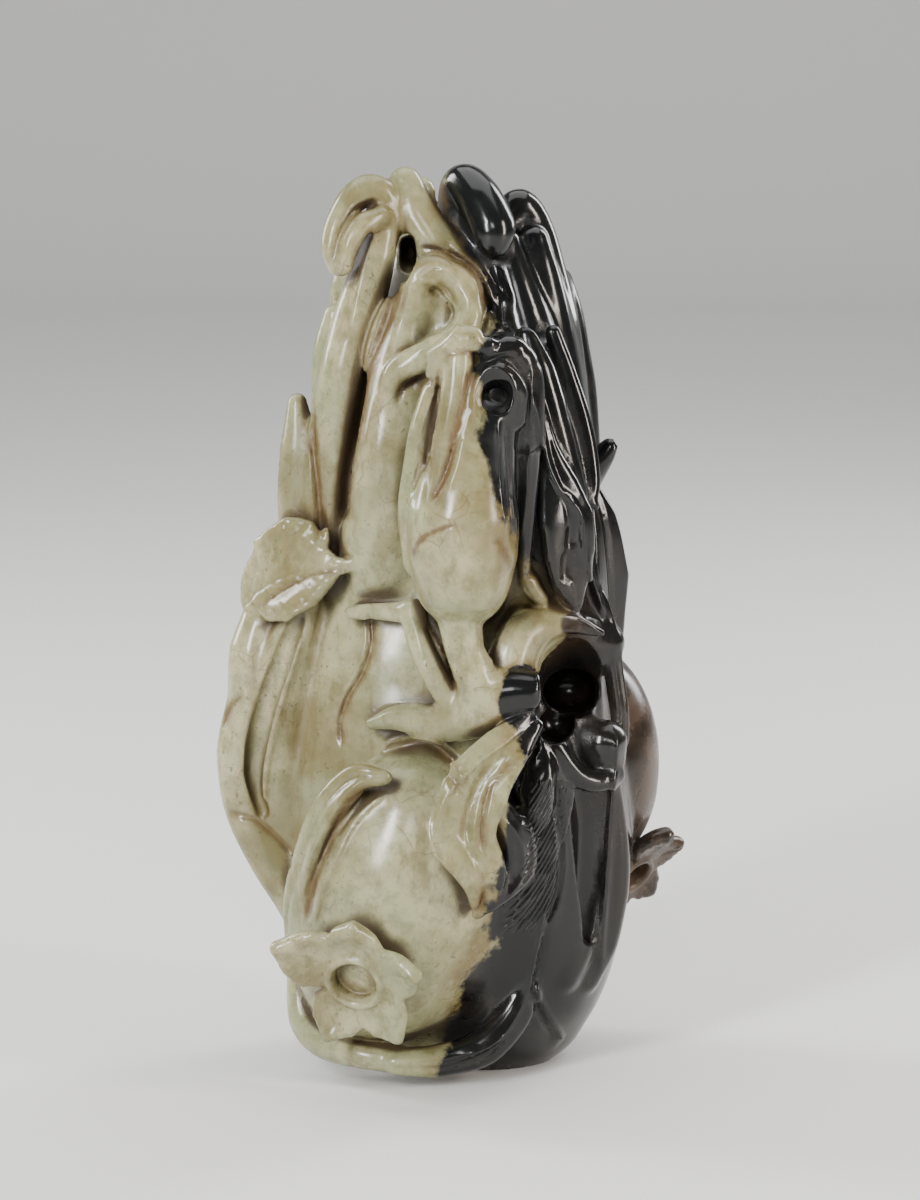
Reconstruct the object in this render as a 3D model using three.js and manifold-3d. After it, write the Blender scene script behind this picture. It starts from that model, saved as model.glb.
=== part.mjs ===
import * as THREE from "three";
import { mergeVertices } from "three/addons/utils/BufferGeometryUtils.js";
import Module from "manifold-3d";

// A finger citron carved from one pebble of grey-green and black jade, 150 mm tall.
// Millimetres. X runs to the viewer's right, Y away from the viewer, Z up.
// The flat of the foot is on Z = 0 with its middle at the origin.

const COLOUR = 0x6f6f62;
const ROUGHNESS = 0.22;
const METALNESS = 0.0;

// The large fruit: radius at each height, its axis, and its depth against its width
const BODY_PROFILE = [
  [0, 13], [4, 18], [10, 21.5], [20, 25], [34, 28.5], [50, 29.5], [70, 27],
  [90, 22], [108, 17.5], [122, 13.5], [133, 9], [140, 4],
];
const BODY_AXIS = [-1, 4];
const BODY_DEPTH = 0.82;
const BODY_SIDES = 16;

// Every limb is a path of rows: x, y, z and the radius, or the half width if it is flat.
// thick is half the thickness of a flat limb, face the way its broad side looks,
// and cup how far its edges turn towards that side for each unit of half width.

// Fingers of the large fruit, each from its root to its tip
const FINGERS = {
  "hook": { "path": [
    [-18, 0, 72, 4.6], [-19.6, -3.4, 88, 5.2], [-18.6, -6, 103, 4.7], [-16.8, -7, 115, 4.3], [-15, -7, 124, 4],
    [-12.6, -7, 132, 3.5], [-10.8, -5.5, 140, 2.8]] },
  "hook_crook": { "caps": 2, "path": [
    [-10.8, -4.5, 138, 2.8], [-10.6, -5, 143.2, 2.9], [-13, -5.8, 145.1, 2.6], [-15.8, -7.2, 143.5, 2.4],
    [-17.9, -9, 139.4, 2.3], [-18.5, -9.8, 136, 2.2], [-17.8, -10, 133.4, 1.9]] },
  "hook_barb": { "path": [
    [-16.8, -11, 133.8, 1.6], [-15.9, -11.2, 137, 1.8], [-13.8, -10.2, 140, 1.8], [-11.4, -8.6, 141, 1.8]] },
  "tip": { "caps": 2, "path": [
    [9.5, -4, 106, 4.4], [7, -5, 120, 4.3], [2.8, -6, 129.5, 4], [-2, -5, 136, 3.8],
    [-5.6, -4, 141.5, 3.5], [-7.2, -3, 146, 2.7]] },
  "coil": { "path": [
    [-9, -4.5, 72, 6.4], [-10.5, -9.5, 86, 7.4], [-9.5, -12.5, 102, 7], [-8.8, -12.4, 113, 6],
    [-8.2, -10.6, 121.5, 4.8], [-6.8, -10.4, 127.5, 3.6]] },
  "coil_arch": { "steps": 2, "path": [
    [-6.8, -12, 127.4, 3], [-5.4, -12.4, 131.2, 2.7], [-2.4, -12.5, 133, 2.5], [1, -13, 132, 2.4],
    [3.2, -14, 128.8, 2.3], [3.2, -15.6, 124.8, 2.3], [1, -17.4, 121.8, 2.4], [-1.5, -18.5, 120.6, 2.4]] },
  "coil_tail": { "path": [
    [0, -18, 120.5, 2.6], [-4, -19, 119.3, 2.5], [-8.4, -18.5, 117, 2.3], [-10, -17, 112.5, 1.6]] },
  "coil_web": { "sides": 4, "path": [[-2, -9, 126.5, 4.2], [-1, -8.6, 120, 4.6]] },
  "black_crook": { "steps": 2, "caps": 2, "path": [
    [4, 2, 124, 5], [2.2, 1.5, 136, 4.4], [1.4, 0.5, 142.4, 3.4], [2.2, -2.2, 145.8, 3.4], [4.8, -6, 143.4, 3.8],
    [6.8, -8.6, 139.4, 3.7], [6.8, -9.2, 137.2, 3]] },
  "crook_web": { "sides": 4, "path": [[5, -2, 131, 4.6], [5, -2.5, 140, 3.6]] },
  "right_tall": { "path": [
    [18.5, 2, 104, 5], [17, 2, 120, 4.6], [15.2, 3, 130.5, 3.9], [13.6, 3.5, 137.5, 3.4],
    [11.4, 2.5, 141.6, 3.2], [9.4, 1, 139.6, 2.6]] },
  "right_front": { "path": [
    [15, -6, 102, 5.2], [13.2, -6, 118, 4.8], [11, -5, 128, 3.9], [8.8, -3.5, 136, 2.8]] },
  "right_gloss": { "path": [
    [12.5, -15.4, 122.3, 2.2], [14, -16.2, 117, 2.9], [15.4, -16.7, 111.6, 3.2], [17, -16.8, 106, 3],
    [18.7, -16.5, 101, 2.5], [20.4, -16, 97, 1.7]] },
  "right_ridge": { "path": [
    [16.6, -11.2, 122.6, 1.3], [18.7, -11.6, 116.8, 1.5], [20.8, -12, 110.2, 1.5], [22.3, -12.2, 104.4, 1.4],
    [23, -12.6, 98.8, 1.3], [22.7, -13.6, 95.6, 1.1]] },
  "right_web": { "sides": 4, "path": [
    [13, -10.6, 118, 3.2], [16.4, -11.6, 106, 4.2], [17.6, -13, 94, 4.6], [18.4, -13.6, 85, 3]] },
  "right_mid": { "path": [
    [18.6, -1, 104, 4.6], [16.8, -1.5, 118, 4.2], [14.8, -2, 130, 3.4], [13.6, -1, 136.5, 2.4]] },
  "right_low": { "path": [
    [20.6, 7, 98, 4.4], [20.2, 7, 112, 3.8], [19, 7, 123, 3], [17.8, 6, 129.5, 2.2]] },
  "left_short": { "path": [
    [-19, 4, 95, 4.2], [-19.3, 5, 108, 3.6], [-19.5, 4, 118, 3], [-18.8, 3, 124, 2]] },
  "left_back": { "path": [
    [-16.5, 8, 108, 4.2], [-17, 7, 121, 3], [-17, 6, 128.5, 2.6], [-15.6, 5, 133, 2]] },
  "left_low": { "path": [
    [-22.6, -1, 80, 4.4], [-24.4, -3, 94, 3.8], [-24.4, -4, 103, 3.2], [-24.8, -3.5, 110.5, 1.5]] },
};

// Fingers round the back: the first azimuth, the step between them and the height of each tip
const BACK_START = 22;
const BACK_STEP = 27;
const BACK_TIPS = [128, 138, 143, 140, 144, 135];
const BACK_ROOT = 62;
const BACK_RADIUS = 5.4;
// Along a back finger: share of its length, share of the radius, how far it is sunk in the body
const BACK_SHAPE = [[0, 0.8, 1.3], [0.28, 1, 0.5], [0.6, 0.86, 0.3], [0.85, 0.66, 0.3], [1, 0.42, 0.3]];
const BACK_CLOSEST = 6.5;
const BACK_SWAY = [-0.1, 0.14];

// Branches, twigs and stems
const BRANCHES = {
  "left_branch": { "path": [
    [-29.6, -4, 78, 3.2], [-31.8, -5.5, 70, 4.1], [-33, -6, 62, 3.5], [-34.2, -6, 53, 4],
    [-33.4, -6, 44, 3.7], [-30.2, -6.5, 35.8, 3.3], [-25.6, -7, 28, 3.1], [-22, -8, 20, 2.6]] },
  "left_rib": { "path": [
    [-24, -9, 78, 3], [-27, -8, 66, 4.2], [-28.8, -6, 52, 5], [-26.4, -5, 38, 4.2], [-21.6, -5, 26, 3.6]] },
  "back_branch": { "path": [
    [-23.5, -4, 25, 3.2], [-22.5, 11, 20, 3.2], [-14.5, 20, 16, 3], [-2, 24.5, 15, 3.2],
    [12, 23, 18, 3], [22, 17, 26, 2.8]] },
  "knot": { "path": [[2, -25, 63, 3.6], [6.5, -26, 65.4, 4.2], [10, -26, 66.6, 4]] },
  "cut_end": { "sides": 8, "path": [[8, -26.4, 66.8, 3.6], [12.2, -26.6, 66.9, 3.4]] },
  "stem": { "path": [[1.5, -28, 79.5, 3.6], [2.5, -28, 73.5, 3], [5, -27, 67, 3.8]] },
  "twig": { "path": [[-6, -21.5, 79, 2], [-4, -24, 73, 2.2], [-1, -25, 67.5, 2.4], [2, -25.5, 63.5, 2.4]] },
  "thorn": { "path": [[-16, -17, 78, 1], [-11, -19, 78.5, 1.4], [-5.5, -21.5, 78.8, 1.8]] },
  "tendril": { "path": [
    [-12.5, -20, 60.5, 1], [-8, -22, 61.8, 2.1], [-1.5, -24, 61.5, 3.2], [5, -26, 63, 3.6]] },
  "handle": { "path": [
    [8, -24, 63.5, 3.6], [9.8, -23, 67, 3.8], [9.6, -22.4, 70.6, 3.9], [11, -21.4, 74.2, 3.5],
    [13.8, -20.4, 76.2, 2.5], [17.4, -19.8, 76.9, 1.7], [21, -19.2, 76.2, 1], [24.4, -18.4, 75, 0.4]] },
  "handle_knob": { "sides": 8, "caps": 2, "path": [[25.2, -14, 56.2, 3.6], [25.4, -13.4, 53.6, 3.2]] },
  "knob_sill": { "path": [
    [14.8, -20.8, 60, 1.2], [17.4, -20, 56, 1.6], [20.2, -18.8, 51.9, 1.8], [23.6, -17, 50.2, 1.9],
    [26.6, -14.4, 51, 1.8]] },
  "swell_rim": { "path": [
    [26, -9.6, 49, 1.8], [27.2, -8.4, 38.8, 2.2], [27, -7.6, 30, 2.4], [25.4, -7.4, 21.6, 2.2],
    [22.8, -8, 15.6, 1.6]] },
  "foot_knob": { "path": [[20.8, -11, 21.6, 2.5], [18.8, -12, 16.8, 2]] },
  "shelf": { "sides": 4, "path": [[12.4, -14.6, 73, 4], [19, -12.6, 73.4, 4.6], [24.4, -10, 72, 4]] },
  "right_mass": { "path": [
    [7, -8, 118, 5], [10, -9, 104, 7.6], [12.6, -8.6, 88, 9.8], [13.6, -7.6, 72, 11], [10, -8, 50, 12],
    [8, -7, 28, 12]] },
};

// Leaves and the flat strips that run down the right side
const LEAVES = {
  "shoulder_leaf": { "thick": 1.4, "cup": 0.2, "face": [-0.35, -0.85, 0.35], "path": [
    [-14.8, -14.5, 85.3, 1], [-18.4, -13.6, 85, 2], [-22, -12, 84, 6.6], [-26.4, -9.5, 82.6, 8.4],
    [-30.4, -6.5, 80, 6.2], [-32.6, -5, 77.5, 2.4]] },
  "shoulder_lobe": { "thick": 1.4, "cup": 0.2, "face": [-0.35, -0.9, 0.2], "path": [
    [-20.5, -11, 89, 3], [-25.5, -8.5, 88.4, 4.4], [-30.2, -6, 86, 3.2]] },
  "pod_leaf": { "thick": 2.2, "cup": 0.25, "face": [-0.6, -0.7, 0.3], "path": [
    [-10.6, -27, 53, 1.6], [-14.8, -25.4, 52.2, 3.2], [-19.2, -23, 46.8, 3.6], [-22.3, -20.6, 39, 3.4],
    [-24.4, -17.4, 30.6, 3], [-25, -14.8, 24.4, 2]] },
  "wavy_leaf": { "thick": 1.6, "cup": 0.2, "face": [0.15, -0.97, 0.1], "path": [
    [13, -27, 62, 2.6], [8.6, -30, 58, 4.6], [4, -32, 52, 6], [2.4, -32.6, 45, 5.4],
    [5, -31.6, 38.5, 4.4], [5.2, -30.4, 34.5, 2.8], [4.4, -29.6, 31.5, 1.2]] },
  "wavy_curl": { "thick": 2, "cup": 0.2, "face": [0.5, -0.85, 0.1], "path": [
    [6.4, -31, 50, 2.2], [10.2, -28.2, 44.5, 3.6], [10.6, -27.6, 38.5, 3.8], [6.4, -30, 33.6, 2]] },
  "ribbed_leaf": { "thick": 2, "cup": 0.1, "face": [0.5, -0.85, 0.1], "path": [
    [15.5, -20, 58, 3.4], [15.3, -21, 49, 5.8], [13.2, -20.5, 39, 5.6], [9.5, -19.5, 28, 2.4]] },
  "leaf_bulge": { "thick": 3, "cup": 0, "face": [0.4, -0.9, 0.1], "path": [
    [15, -21, 54.6, 2.2], [14.4, -22, 50.6, 3.7], [13.4, -22.6, 46.4, 3.8], [12.6, -22, 43, 2]] },
  "light_wedge": { "thick": 2, "cup": 0, "face": [0, -1, 0], "path": [
    [12, -20.2, 87, 0.8], [12.8, -20.2, 83.4, 2], [14.2, -19.8, 81.2, 1.7]] },
  "foot_leaf": { "thick": 2.6, "cup": 0.1, "face": [0.2, -0.9, -0.3], "path": [
    [14.5, -13, 32, 2.4], [13.2, -14, 21.5, 3], [11, -15, 12.5, 3.6], [5.5, -17.5, 6.6, 3.8],
    [-1.5, -19, 4.6, 3.4], [-8.5, -20, 4.6, 2.6]] },
  "foot_strip": { "thick": 2.4, "cup": 0, "face": [0.5, -0.85, 0], "path": [
    [16.8, -9.5, 29, 2.4], [16.4, -9, 18.5, 2.6], [16, -8, 10, 3], [16.4, -7, 5.5, 2.2]] },
  "foot_lobe": { "thick": 3.4, "cup": 0, "face": [-0.4, -0.9, 0], "path": [
    [-24.4, -6, 17, 3.2], [-23.6, -9, 9, 3.6], [-20, -13, 6, 3.6], [-14, -17, 5.4, 3.4],
    [-7, -19, 4.4, 2.8]] },
  "edge_leaf": { "thick": 1.8, "cup": 0.3, "face": [0.75, -0.6, 0.1], "path": [
    [21.6, -3.5, 98, 1.6], [23.8, -3, 91, 4], [25, -2, 81, 5.4], [25.4, -1, 72, 4], [25, -1, 64, 1.8]] },
  "edge_strip": { "thick": 2, "cup": 0, "face": [0.6, -0.8, 0], "path": [
    [20.8, -13.6, 96.5, 1], [21.6, -13.4, 89.5, 1.4], [22.6, -13, 84.6, 1.7], [24.2, -12, 78.6, 1.9],
    [26, -11.2, 72, 1.9], [26.9, -11, 65.6, 1.8], [27.6, -11, 60.6, 1.7], [28, -11, 56, 1.5]] },
  "black_leaf": { "thick": 2.2, "cup": 0.2, "face": [0.42, -0.9, 0.1], "path": [
    [13.9, -19.6, 113.2, 1], [15.2, -20.2, 105, 2.4], [16.9, -20.6, 98.8, 4.2], [18.1, -20.6, 93.6, 5.4],
    [18.7, -20.2, 88.6, 5.2], [18.9, -19.4, 83.9, 3.8], [19.8, -18.4, 79.8, 1.6]] },
  "nub": { "thick": 2, "cup": 0, "face": [0.8, -0.6, 0], "path": [
    [21.4, 0, 95.6, 3.2], [24, -0.4, 99.8, 2.6], [26, -1, 102.8, 1.5]] },
  "back_leaf": { "thick": 1.9, "cup": 0.16, "face": [-0.3, 0.9, 0.1], "path": [
    [8, 26, 22, 1.8], [3, 28, 29, 5.4], [-4, 28.4, 39, 9], [-10.5, 27, 50, 9.2], [-16, 23.5, 60, 6],
    [-19, 19.5, 67, 1.8]] },
  "back_leaf_small": { "thick": 1.8, "cup": 0.2, "face": [0.4, 0.85, 0.1], "path": [
    [14, 24, 24, 1.6], [17.5, 23, 33, 5], [16.5, 24.5, 44, 6.6], [12.5, 26, 54, 4.4], [9, 26, 61, 1.5]] },
};

// Round fruits and the swell of the large one at lower right: centre, half sizes,
// lean in the picture plane and tip towards the viewer in degrees
const FRUITS = {
  "front_pomegranate": { "centre": [-8.6, -13, 31], "half": [17.4, 17.2, 26.4], "lean": 13, "tip": 8 },
  "right_swell": { "centre": [9, 2, 32], "half": [19.6, 20, 34], "lean": 0, "tip": 0 },
  "side_pomegranate": { "centre": [22.6, 10, 49.5], "half": [12.4, 13, 19.5], "lean": -4, "tip": 0 },
};

// Open calyx of each pomegranate: centre, axis, depth of the disc and petals as angle and length
const CALYXES = {
  "front_calyx": { "centre": [-14.8, -29.5, 20.9], "axis": [-0.3, -0.88, -0.38], "cup": 3.9, "petals": [
    [82, 11.6], [23, 11.6], [-54, 11.4], [-117, 11.6], [155, 13.6]] },
  "side_calyx": { "centre": [30, 7.5, 30.5], "axis": [0.62, -0.56, -0.55], "cup": 2.8, "petals": [
    [74, 9.6], [14, 9.4], [-46, 8.6], [-104, 9.4], [168, 8]] },
};
const PETAL_THICK = 1.5;
const PETAL_CUP = 0.22;
const PETAL_WIDTHS = [0.28, 0.48, 0.38, 0.08];
const PETAL_REACH = [0.2, 0.55, 0.8, 1];
const PETAL_LIFT = [0, 0.02, 0.1, 0.24];
const CALYX_DEPTH = 2.2;
const CALYX_LIFT = 1.6;
const CALYX_TALL = 6;
const CALYX_RIM = 1.8;

// The small finger citron that hangs at the front
const SMALL_FRUIT = {
  "small_body": { "sides": 9, "path": [
    [2, -26.5, 82.5, 5.4], [2, -27.5, 85.5, 7.8], [2, -28, 90, 8.8], [2.3, -28.2, 95, 8.7],
    [3, -28.6, 100.5, 7.6], [4.6, -29.4, 107, 6], [6.2, -29.8, 113, 5], [7, -30, 117, 3.8]] },
  "small_left": { "path": [
    [-4, -25, 88, 3.6], [-4.8, -25, 96, 3.4], [-3.6, -26, 107, 3.2], [-1.6, -27, 115.5, 2.6],
    [-0.8, -28, 119, 2]] },
  "small_front": { "path": [
    [-1.4, -31, 97, 2.4], [-0.2, -32.2, 107, 2.8], [1.2, -32.2, 116, 2.8], [1.4, -31.6, 121, 2.4]] },
  "small_crest": { "path": [
    [-1.4, -29.5, 118, 2.4], [-0.4, -30.5, 121, 2.7], [2.8, -31.5, 123.4, 2.4], [6, -31.6, 122.4, 1.8]] },
  "small_cap": { "path": [
    [12, -27, 108, 3], [12, -28, 117, 2.8], [10, -29.4, 121.3, 2.6], [6.4, -30.8, 121.4, 2]] },
  "small_right": { "thick": 2.6, "face": [0.4, -0.9, 0], "path": [
    [11.8, -21.8, 85, 1.2], [11.9, -23.6, 93, 2], [11.9, -25.2, 102, 2.9], [11.8, -25.8, 109, 3.2]] },
  "small_back": { "sides": 4, "path": [[3, -17, 82, 5.6], [3.4, -18, 96, 6.4], [5, -19, 111, 5]] },
  "small_lip": { "path": [
    [5, -31, 111, 1.6], [4.8, -32, 116, 1.6], [7.6, -32.4, 119, 1.5], [10.4, -32, 116, 1.6],
    [10.4, -30.8, 111, 1.6]] },
};

// Sinkings cut back into the stone: drilled holes and the hollow behind the handle
const SINKINGS = {
  "leaf_hole_high": { "sides": 5, "path": [
    [19.8, -22.8, 91.8, 1.2], [19.7, -22.8, 90, 1.3]] },
  "leaf_hole_low": { "sides": 5, "path": [
    [19.3, -22.8, 87.6, 1.5], [19.1, -22.8, 84.9, 1.6]] },
  "coil_hole": { "path": [[-2.1, -14.2, 126.2, 1.3], [-2.5, -14, 124, 1.3]] },
  "small_hole": { "thick": 2.3, "face": [1, 0, 0], "path": [
    [7.4, -37, 115, 3.2], [7.4, -33, 114.6, 3.1], [7.2, -27, 114, 2]] },
  "handle_hollow": { "thick": 5.6, "face": [1, 0, 0], "path": [
    [20, -27, 67.6, 8.4], [20, -19.4, 67.4, 8.2], [20, -12, 64.4, 5], [19.4, -4, 63.2, 4.2]] },
  "hollow_low": { "path": [[16.8, -24, 60.4, 2.6], [17.4, -12, 59.4, 3]] },
  "right_gap": { "path": [
    [11.8, -13.8, 126, 1.9], [13.4, -14, 123.2, 2.5], [15.6, -14.8, 119.6, 1.9], [17.9, -15.4, 115, 1.2],
    [19.8, -15.8, 109.9, 1], [20.9, -16, 104.6, 0.8]] },
  "branch_groove": { "path": [
    [-24.7, -12.2, 76, 1.4], [-27, -12, 70, 1.9], [-29.4, -11.2, 63.2, 2], [-31.2, -10.2, 56, 1.9],
    [-31.8, -9.6, 50, 1.7], [-30.6, -9.4, 43.6, 1]] },
  "top_gap": { "thick": 1.5, "face": [1, 0, 0], "path": [
    [-7, -13, 134.6, 4.2], [-6.8, 0, 134.6, 3.6], [-6.4, 7, 134, 2]] },
  "side_hollow": { "thick": 2.6, "face": [1, 0, 0], "path": [
    [22.2, -15, 48.4, 3], [22.7, -13.8, 41, 3.8], [22.6, -12.6, 33, 3], [21.9, -11.6, 26, 1.8],
    [21.2, -11.4, 21.6, 0.8]] },
};

const ROUND_LIMB = { sides: 6, caps: 1 };
const PLAIN_LIMB = { sides: 5, caps: 1 };
const FRUIT_SIDES = 14;
const FRUIT_RINGS = 9;
const DISC_SIDES = 9;
const BODY_BURIED = 2;
const FRAME_PULL = 0.6;
const CUT_SIZE = 200;

const radians = (degrees) => degrees * Math.PI / 180;
const vector = (values) => new THREE.Vector3(...values);

const wasm = await Module();
wasm.setup();

function solid(geometry) {
  const bare = geometry.index ? geometry.clone() : geometry.toNonIndexed();
  bare.deleteAttribute("normal");
  bare.deleteAttribute("uv");
  const merged = mergeVertices(bare, 1e-4);
  return new wasm.Manifold(new wasm.Mesh({
    numProp: 3,
    vertProperties: new Float32Array(merged.attributes.position.array),
    triVerts: new Uint32Array(merged.index.array),
  }));
}

// Part of a direction square to an axis
function squareTo(direction, axis) {
  return direction.clone().addScaledVector(axis, -direction.dot(axis)).normalize();
}

// A capsule bent along its path; flat limbs have an oval section with its edges turned up
function limb({ path, thick, cup = 0, face = [0, -1, 0], sides, caps, steps = 1 }) {
  const knots = path.map((row) => new THREE.Vector3(row[0], row[1], row[2]));
  const curve = new THREE.CatmullRomCurve3(knots, false, "catmullrom", 0.5);
  const rings = (path.length - 1) * steps;
  const aim = vector(face).normalize();
  const places = [];
  let normal = aim;
  for (let ring = 0; ring <= rings; ring += 1) {
    const along = ring / rings;
    const tangent = curve.getTangent(along);
    normal = squareTo(normal.clone().addScaledVector(aim, FRAME_PULL), tangent);
    const row = Math.min(Math.floor(ring / steps), path.length - 2);
    const blend = ring / steps - row;
    const width = THREE.MathUtils.lerp(path[row][3], path[row + 1][3], blend);
    const depth = thick ? Math.min(thick, width) : width;
    const across = normal.clone().cross(tangent);
    places.push({ point: curve.getPoint(along), tangent, normal, across, width, depth });
  }
  const geometry = new THREE.CapsuleGeometry(1, rings, caps, sides, rings);
  const position = geometry.attributes.position;
  for (let index = 0; index < position.count; index += 1) {
    const level = position.getY(index) + rings / 2;
    const ring = Math.round(THREE.MathUtils.clamp(level, 0, rings));
    const place = places[ring];
    const beyond = level - ring;
    const out = position.getX(index);
    const side = position.getZ(index);
    const point = place.point.clone()
      .addScaledVector(place.tangent, beyond * place.depth)
      .addScaledVector(place.normal, out * place.depth + cup * side * side * place.width)
      .addScaledVector(place.across, side * place.width);
    position.setXYZ(index, point.x, point.y, point.z);
  }
  return solid(geometry);
}

function pomegranate({ centre, half, lean, tip }) {
  const geometry = new THREE.SphereGeometry(1, FRUIT_SIDES, FRUIT_RINGS);
  geometry.rotateX(Math.PI / 2);
  geometry.scale(...half);
  geometry.rotateX(radians(tip));
  geometry.rotateY(radians(lean));
  geometry.translate(...centre);
  return solid(geometry);
}

// The large fruit without its fingers, turned as a lathe profile and narrowed in depth
function body() {
  const profile = [new THREE.Vector2(0, -BODY_BURIED)];
  profile.push(new THREE.Vector2(BODY_PROFILE[0][1], -BODY_BURIED));
  BODY_PROFILE.forEach(([height, radius]) => profile.push(new THREE.Vector2(radius, height)));
  profile.push(new THREE.Vector2(0, BODY_PROFILE.at(-1)[0] + 1));
  const geometry = new THREE.LatheGeometry(profile, BODY_SIDES);
  geometry.rotateX(Math.PI / 2);
  geometry.scale(1, BODY_DEPTH, 1);
  geometry.translate(BODY_AXIS[0], BODY_AXIS[1], 0);
  return solid(geometry);
}

function bodyRadius(height) {
  const next = BODY_PROFILE.findIndex(([level]) => level >= height);
  const [low, high] = next < 1 ? BODY_PROFILE.slice(-2) : BODY_PROFILE.slice(next - 1, next + 1);
  return THREE.MathUtils.mapLinear(height, low[0], high[0], low[1], high[1]);
}

// One finger lying on the back of the large fruit, leaning in to its tip
function backFinger(number) {
  const azimuth = radians(BACK_START + BACK_STEP * number);
  const top = BACK_TIPS[number];
  const sway = BACK_SWAY[number % 2];
  const path = [];
  for (const [share, size, sunk] of BACK_SHAPE) {
    const height = BACK_ROOT + (top - BACK_ROOT) * share;
    const radius = size * BACK_RADIUS;
    const reach = Math.max(bodyRadius(height) - radius * sunk, BACK_CLOSEST);
    const turn = azimuth + sway * share * share;
    path.push([
      BODY_AXIS[0] + Math.cos(turn) * reach,
      BODY_AXIS[1] + Math.sin(turn) * reach * BODY_DEPTH,
      height,
      radius,
    ]);
  }
  return limb({ ...PLAIN_LIMB, path });
}

// Five pointed petals round a sunk disc
function calyx({ centre, axis, cup, petals }) {
  const outward = vector(axis).normalize();
  const middle = vector(centre);
  const parts = petals.map(([angle, length]) => {
    const picture = new THREE.Vector3(Math.cos(radians(angle)), 0, Math.sin(radians(angle)));
    const run = squareTo(picture, outward);
    const path = PETAL_REACH.map((reach, step) => {
      const point = middle.clone()
        .addScaledVector(run, reach * length)
        .addScaledVector(outward, PETAL_LIFT[step] * length);
      return [point.x, point.y, point.z, PETAL_WIDTHS[step] * length];
    });
    return limb({ ...PLAIN_LIMB, path, thick: PETAL_THICK, cup: PETAL_CUP, face: axis });
  });
  const disc = new THREE.CylinderGeometry(cup + 0.4, cup + CALYX_RIM, CALYX_TALL, DISC_SIDES);
  disc.translate(0, CALYX_LIFT - CALYX_TALL / 2, 0);
  const drill = new THREE.CylinderGeometry(cup, cup * 0.86, CALYX_DEPTH * 2, DISC_SIDES);
  drill.translate(0, CALYX_LIFT, 0);
  const turn = new THREE.Quaternion().setFromUnitVectors(new THREE.Vector3(0, 1, 0), outward);
  for (const geometry of [disc, drill]) {
    geometry.applyQuaternion(turn);
    geometry.translate(...centre);
  }
  return { stone: join([...parts, solid(disc)]), hole: solid(drill) };
}

function join(parts) {
  return parts.reduce((whole, part) => whole.add(part));
}

const raised = [
  body(),
  ...Object.values(FRUITS).map(pomegranate),
  ...Object.values(FINGERS).map((item) => limb({ ...ROUND_LIMB, ...item })),
  ...BACK_TIPS.map((_, number) => backFinger(number)),
  ...Object.values(BRANCHES).map((item) => limb({ ...PLAIN_LIMB, ...item })),
  ...Object.values(LEAVES).map((item) => limb({ ...ROUND_LIMB, ...item })),
  ...Object.values(SMALL_FRUIT).map((item) => limb({ ...ROUND_LIMB, ...item })),
];
const calyxes = Object.values(CALYXES).map(calyx);
let carving = join([...raised, ...calyxes.map((item) => item.stone)]);
const sinkings = Object.values(SINKINGS).map((item) => limb({ ...PLAIN_LIMB, ...item }));
for (const hole of [...sinkings, ...calyxes.map((item) => item.hole)]) {
  carving = carving.subtract(hole);
}

// The foot is ground flat
const below = new THREE.BoxGeometry(CUT_SIZE, CUT_SIZE, CUT_SIZE);
below.translate(0, 0, -CUT_SIZE / 2);
carving = carving.subtract(solid(below));

const mesh = carving.getMesh();
const geometry = new THREE.BufferGeometry();
geometry.setAttribute("position", new THREE.BufferAttribute(new Float32Array(mesh.vertProperties), 3));
geometry.setIndex(new THREE.BufferAttribute(new Uint32Array(mesh.triVerts), 1));
geometry.computeVertexNormals();

const part = new THREE.Group();
part.name = "finger_citron";
const stone = new THREE.Mesh(geometry, new THREE.MeshStandardMaterial({
  color: COLOUR,
  roughness: ROUGHNESS,
  metalness: METALNESS,
}));
stone.name = "finger_citron_carving";
part.add(stone);

export default part;
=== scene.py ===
import math

import bmesh
import bpy
import numpy as np
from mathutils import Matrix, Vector


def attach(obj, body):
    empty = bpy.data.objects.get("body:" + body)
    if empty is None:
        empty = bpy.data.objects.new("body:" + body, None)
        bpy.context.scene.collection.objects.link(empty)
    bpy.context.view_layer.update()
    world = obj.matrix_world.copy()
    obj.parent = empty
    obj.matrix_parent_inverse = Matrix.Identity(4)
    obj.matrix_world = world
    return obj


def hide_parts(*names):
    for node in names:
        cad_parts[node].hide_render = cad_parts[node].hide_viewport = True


# A finger citron carved from grey-green and black jade, standing on a plain floor.
# The tables are in millimetres in the part's own frame: X to the viewer's right,
# Y away from the viewer, Z up from the flat of the foot.

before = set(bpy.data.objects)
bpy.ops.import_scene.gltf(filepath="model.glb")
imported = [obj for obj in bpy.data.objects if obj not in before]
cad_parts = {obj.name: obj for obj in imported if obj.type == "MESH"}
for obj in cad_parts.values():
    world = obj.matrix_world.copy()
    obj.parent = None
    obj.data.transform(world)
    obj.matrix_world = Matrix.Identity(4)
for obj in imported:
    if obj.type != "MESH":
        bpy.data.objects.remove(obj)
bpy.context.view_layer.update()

MM = 0.001
VOXEL = 0.34
GRID_LOW = (-41.0, -40.5, -1.6)
GRID_HIGH = (43.0, 35.5, 152.5)
FAR = 50.0
MARGIN = 2.4
# Triangles kept before the hatching is cut, which adds about 44,000
MOST_TRIANGLES = 148000

# The large fruit: radius at each height, its axis, and its depth against its width
BODY_PROFILE = [
  [0, 13], [4, 18], [10, 21.5], [20, 25], [34, 28.5], [50, 29.5], [70, 27],
  [90, 22], [108, 17.5], [122, 13.5], [133, 9], [140, 4],
]
BODY_AXIS = [-1, 4]
BODY_DEPTH = 0.82

# Every limb is a path of rows: x, y, z and the radius, or the half width if it is flat.
# thick is half the thickness of a flat limb, face the way its broad side looks,
# and cup how far its edges turn towards that side for each unit of half width.

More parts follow.
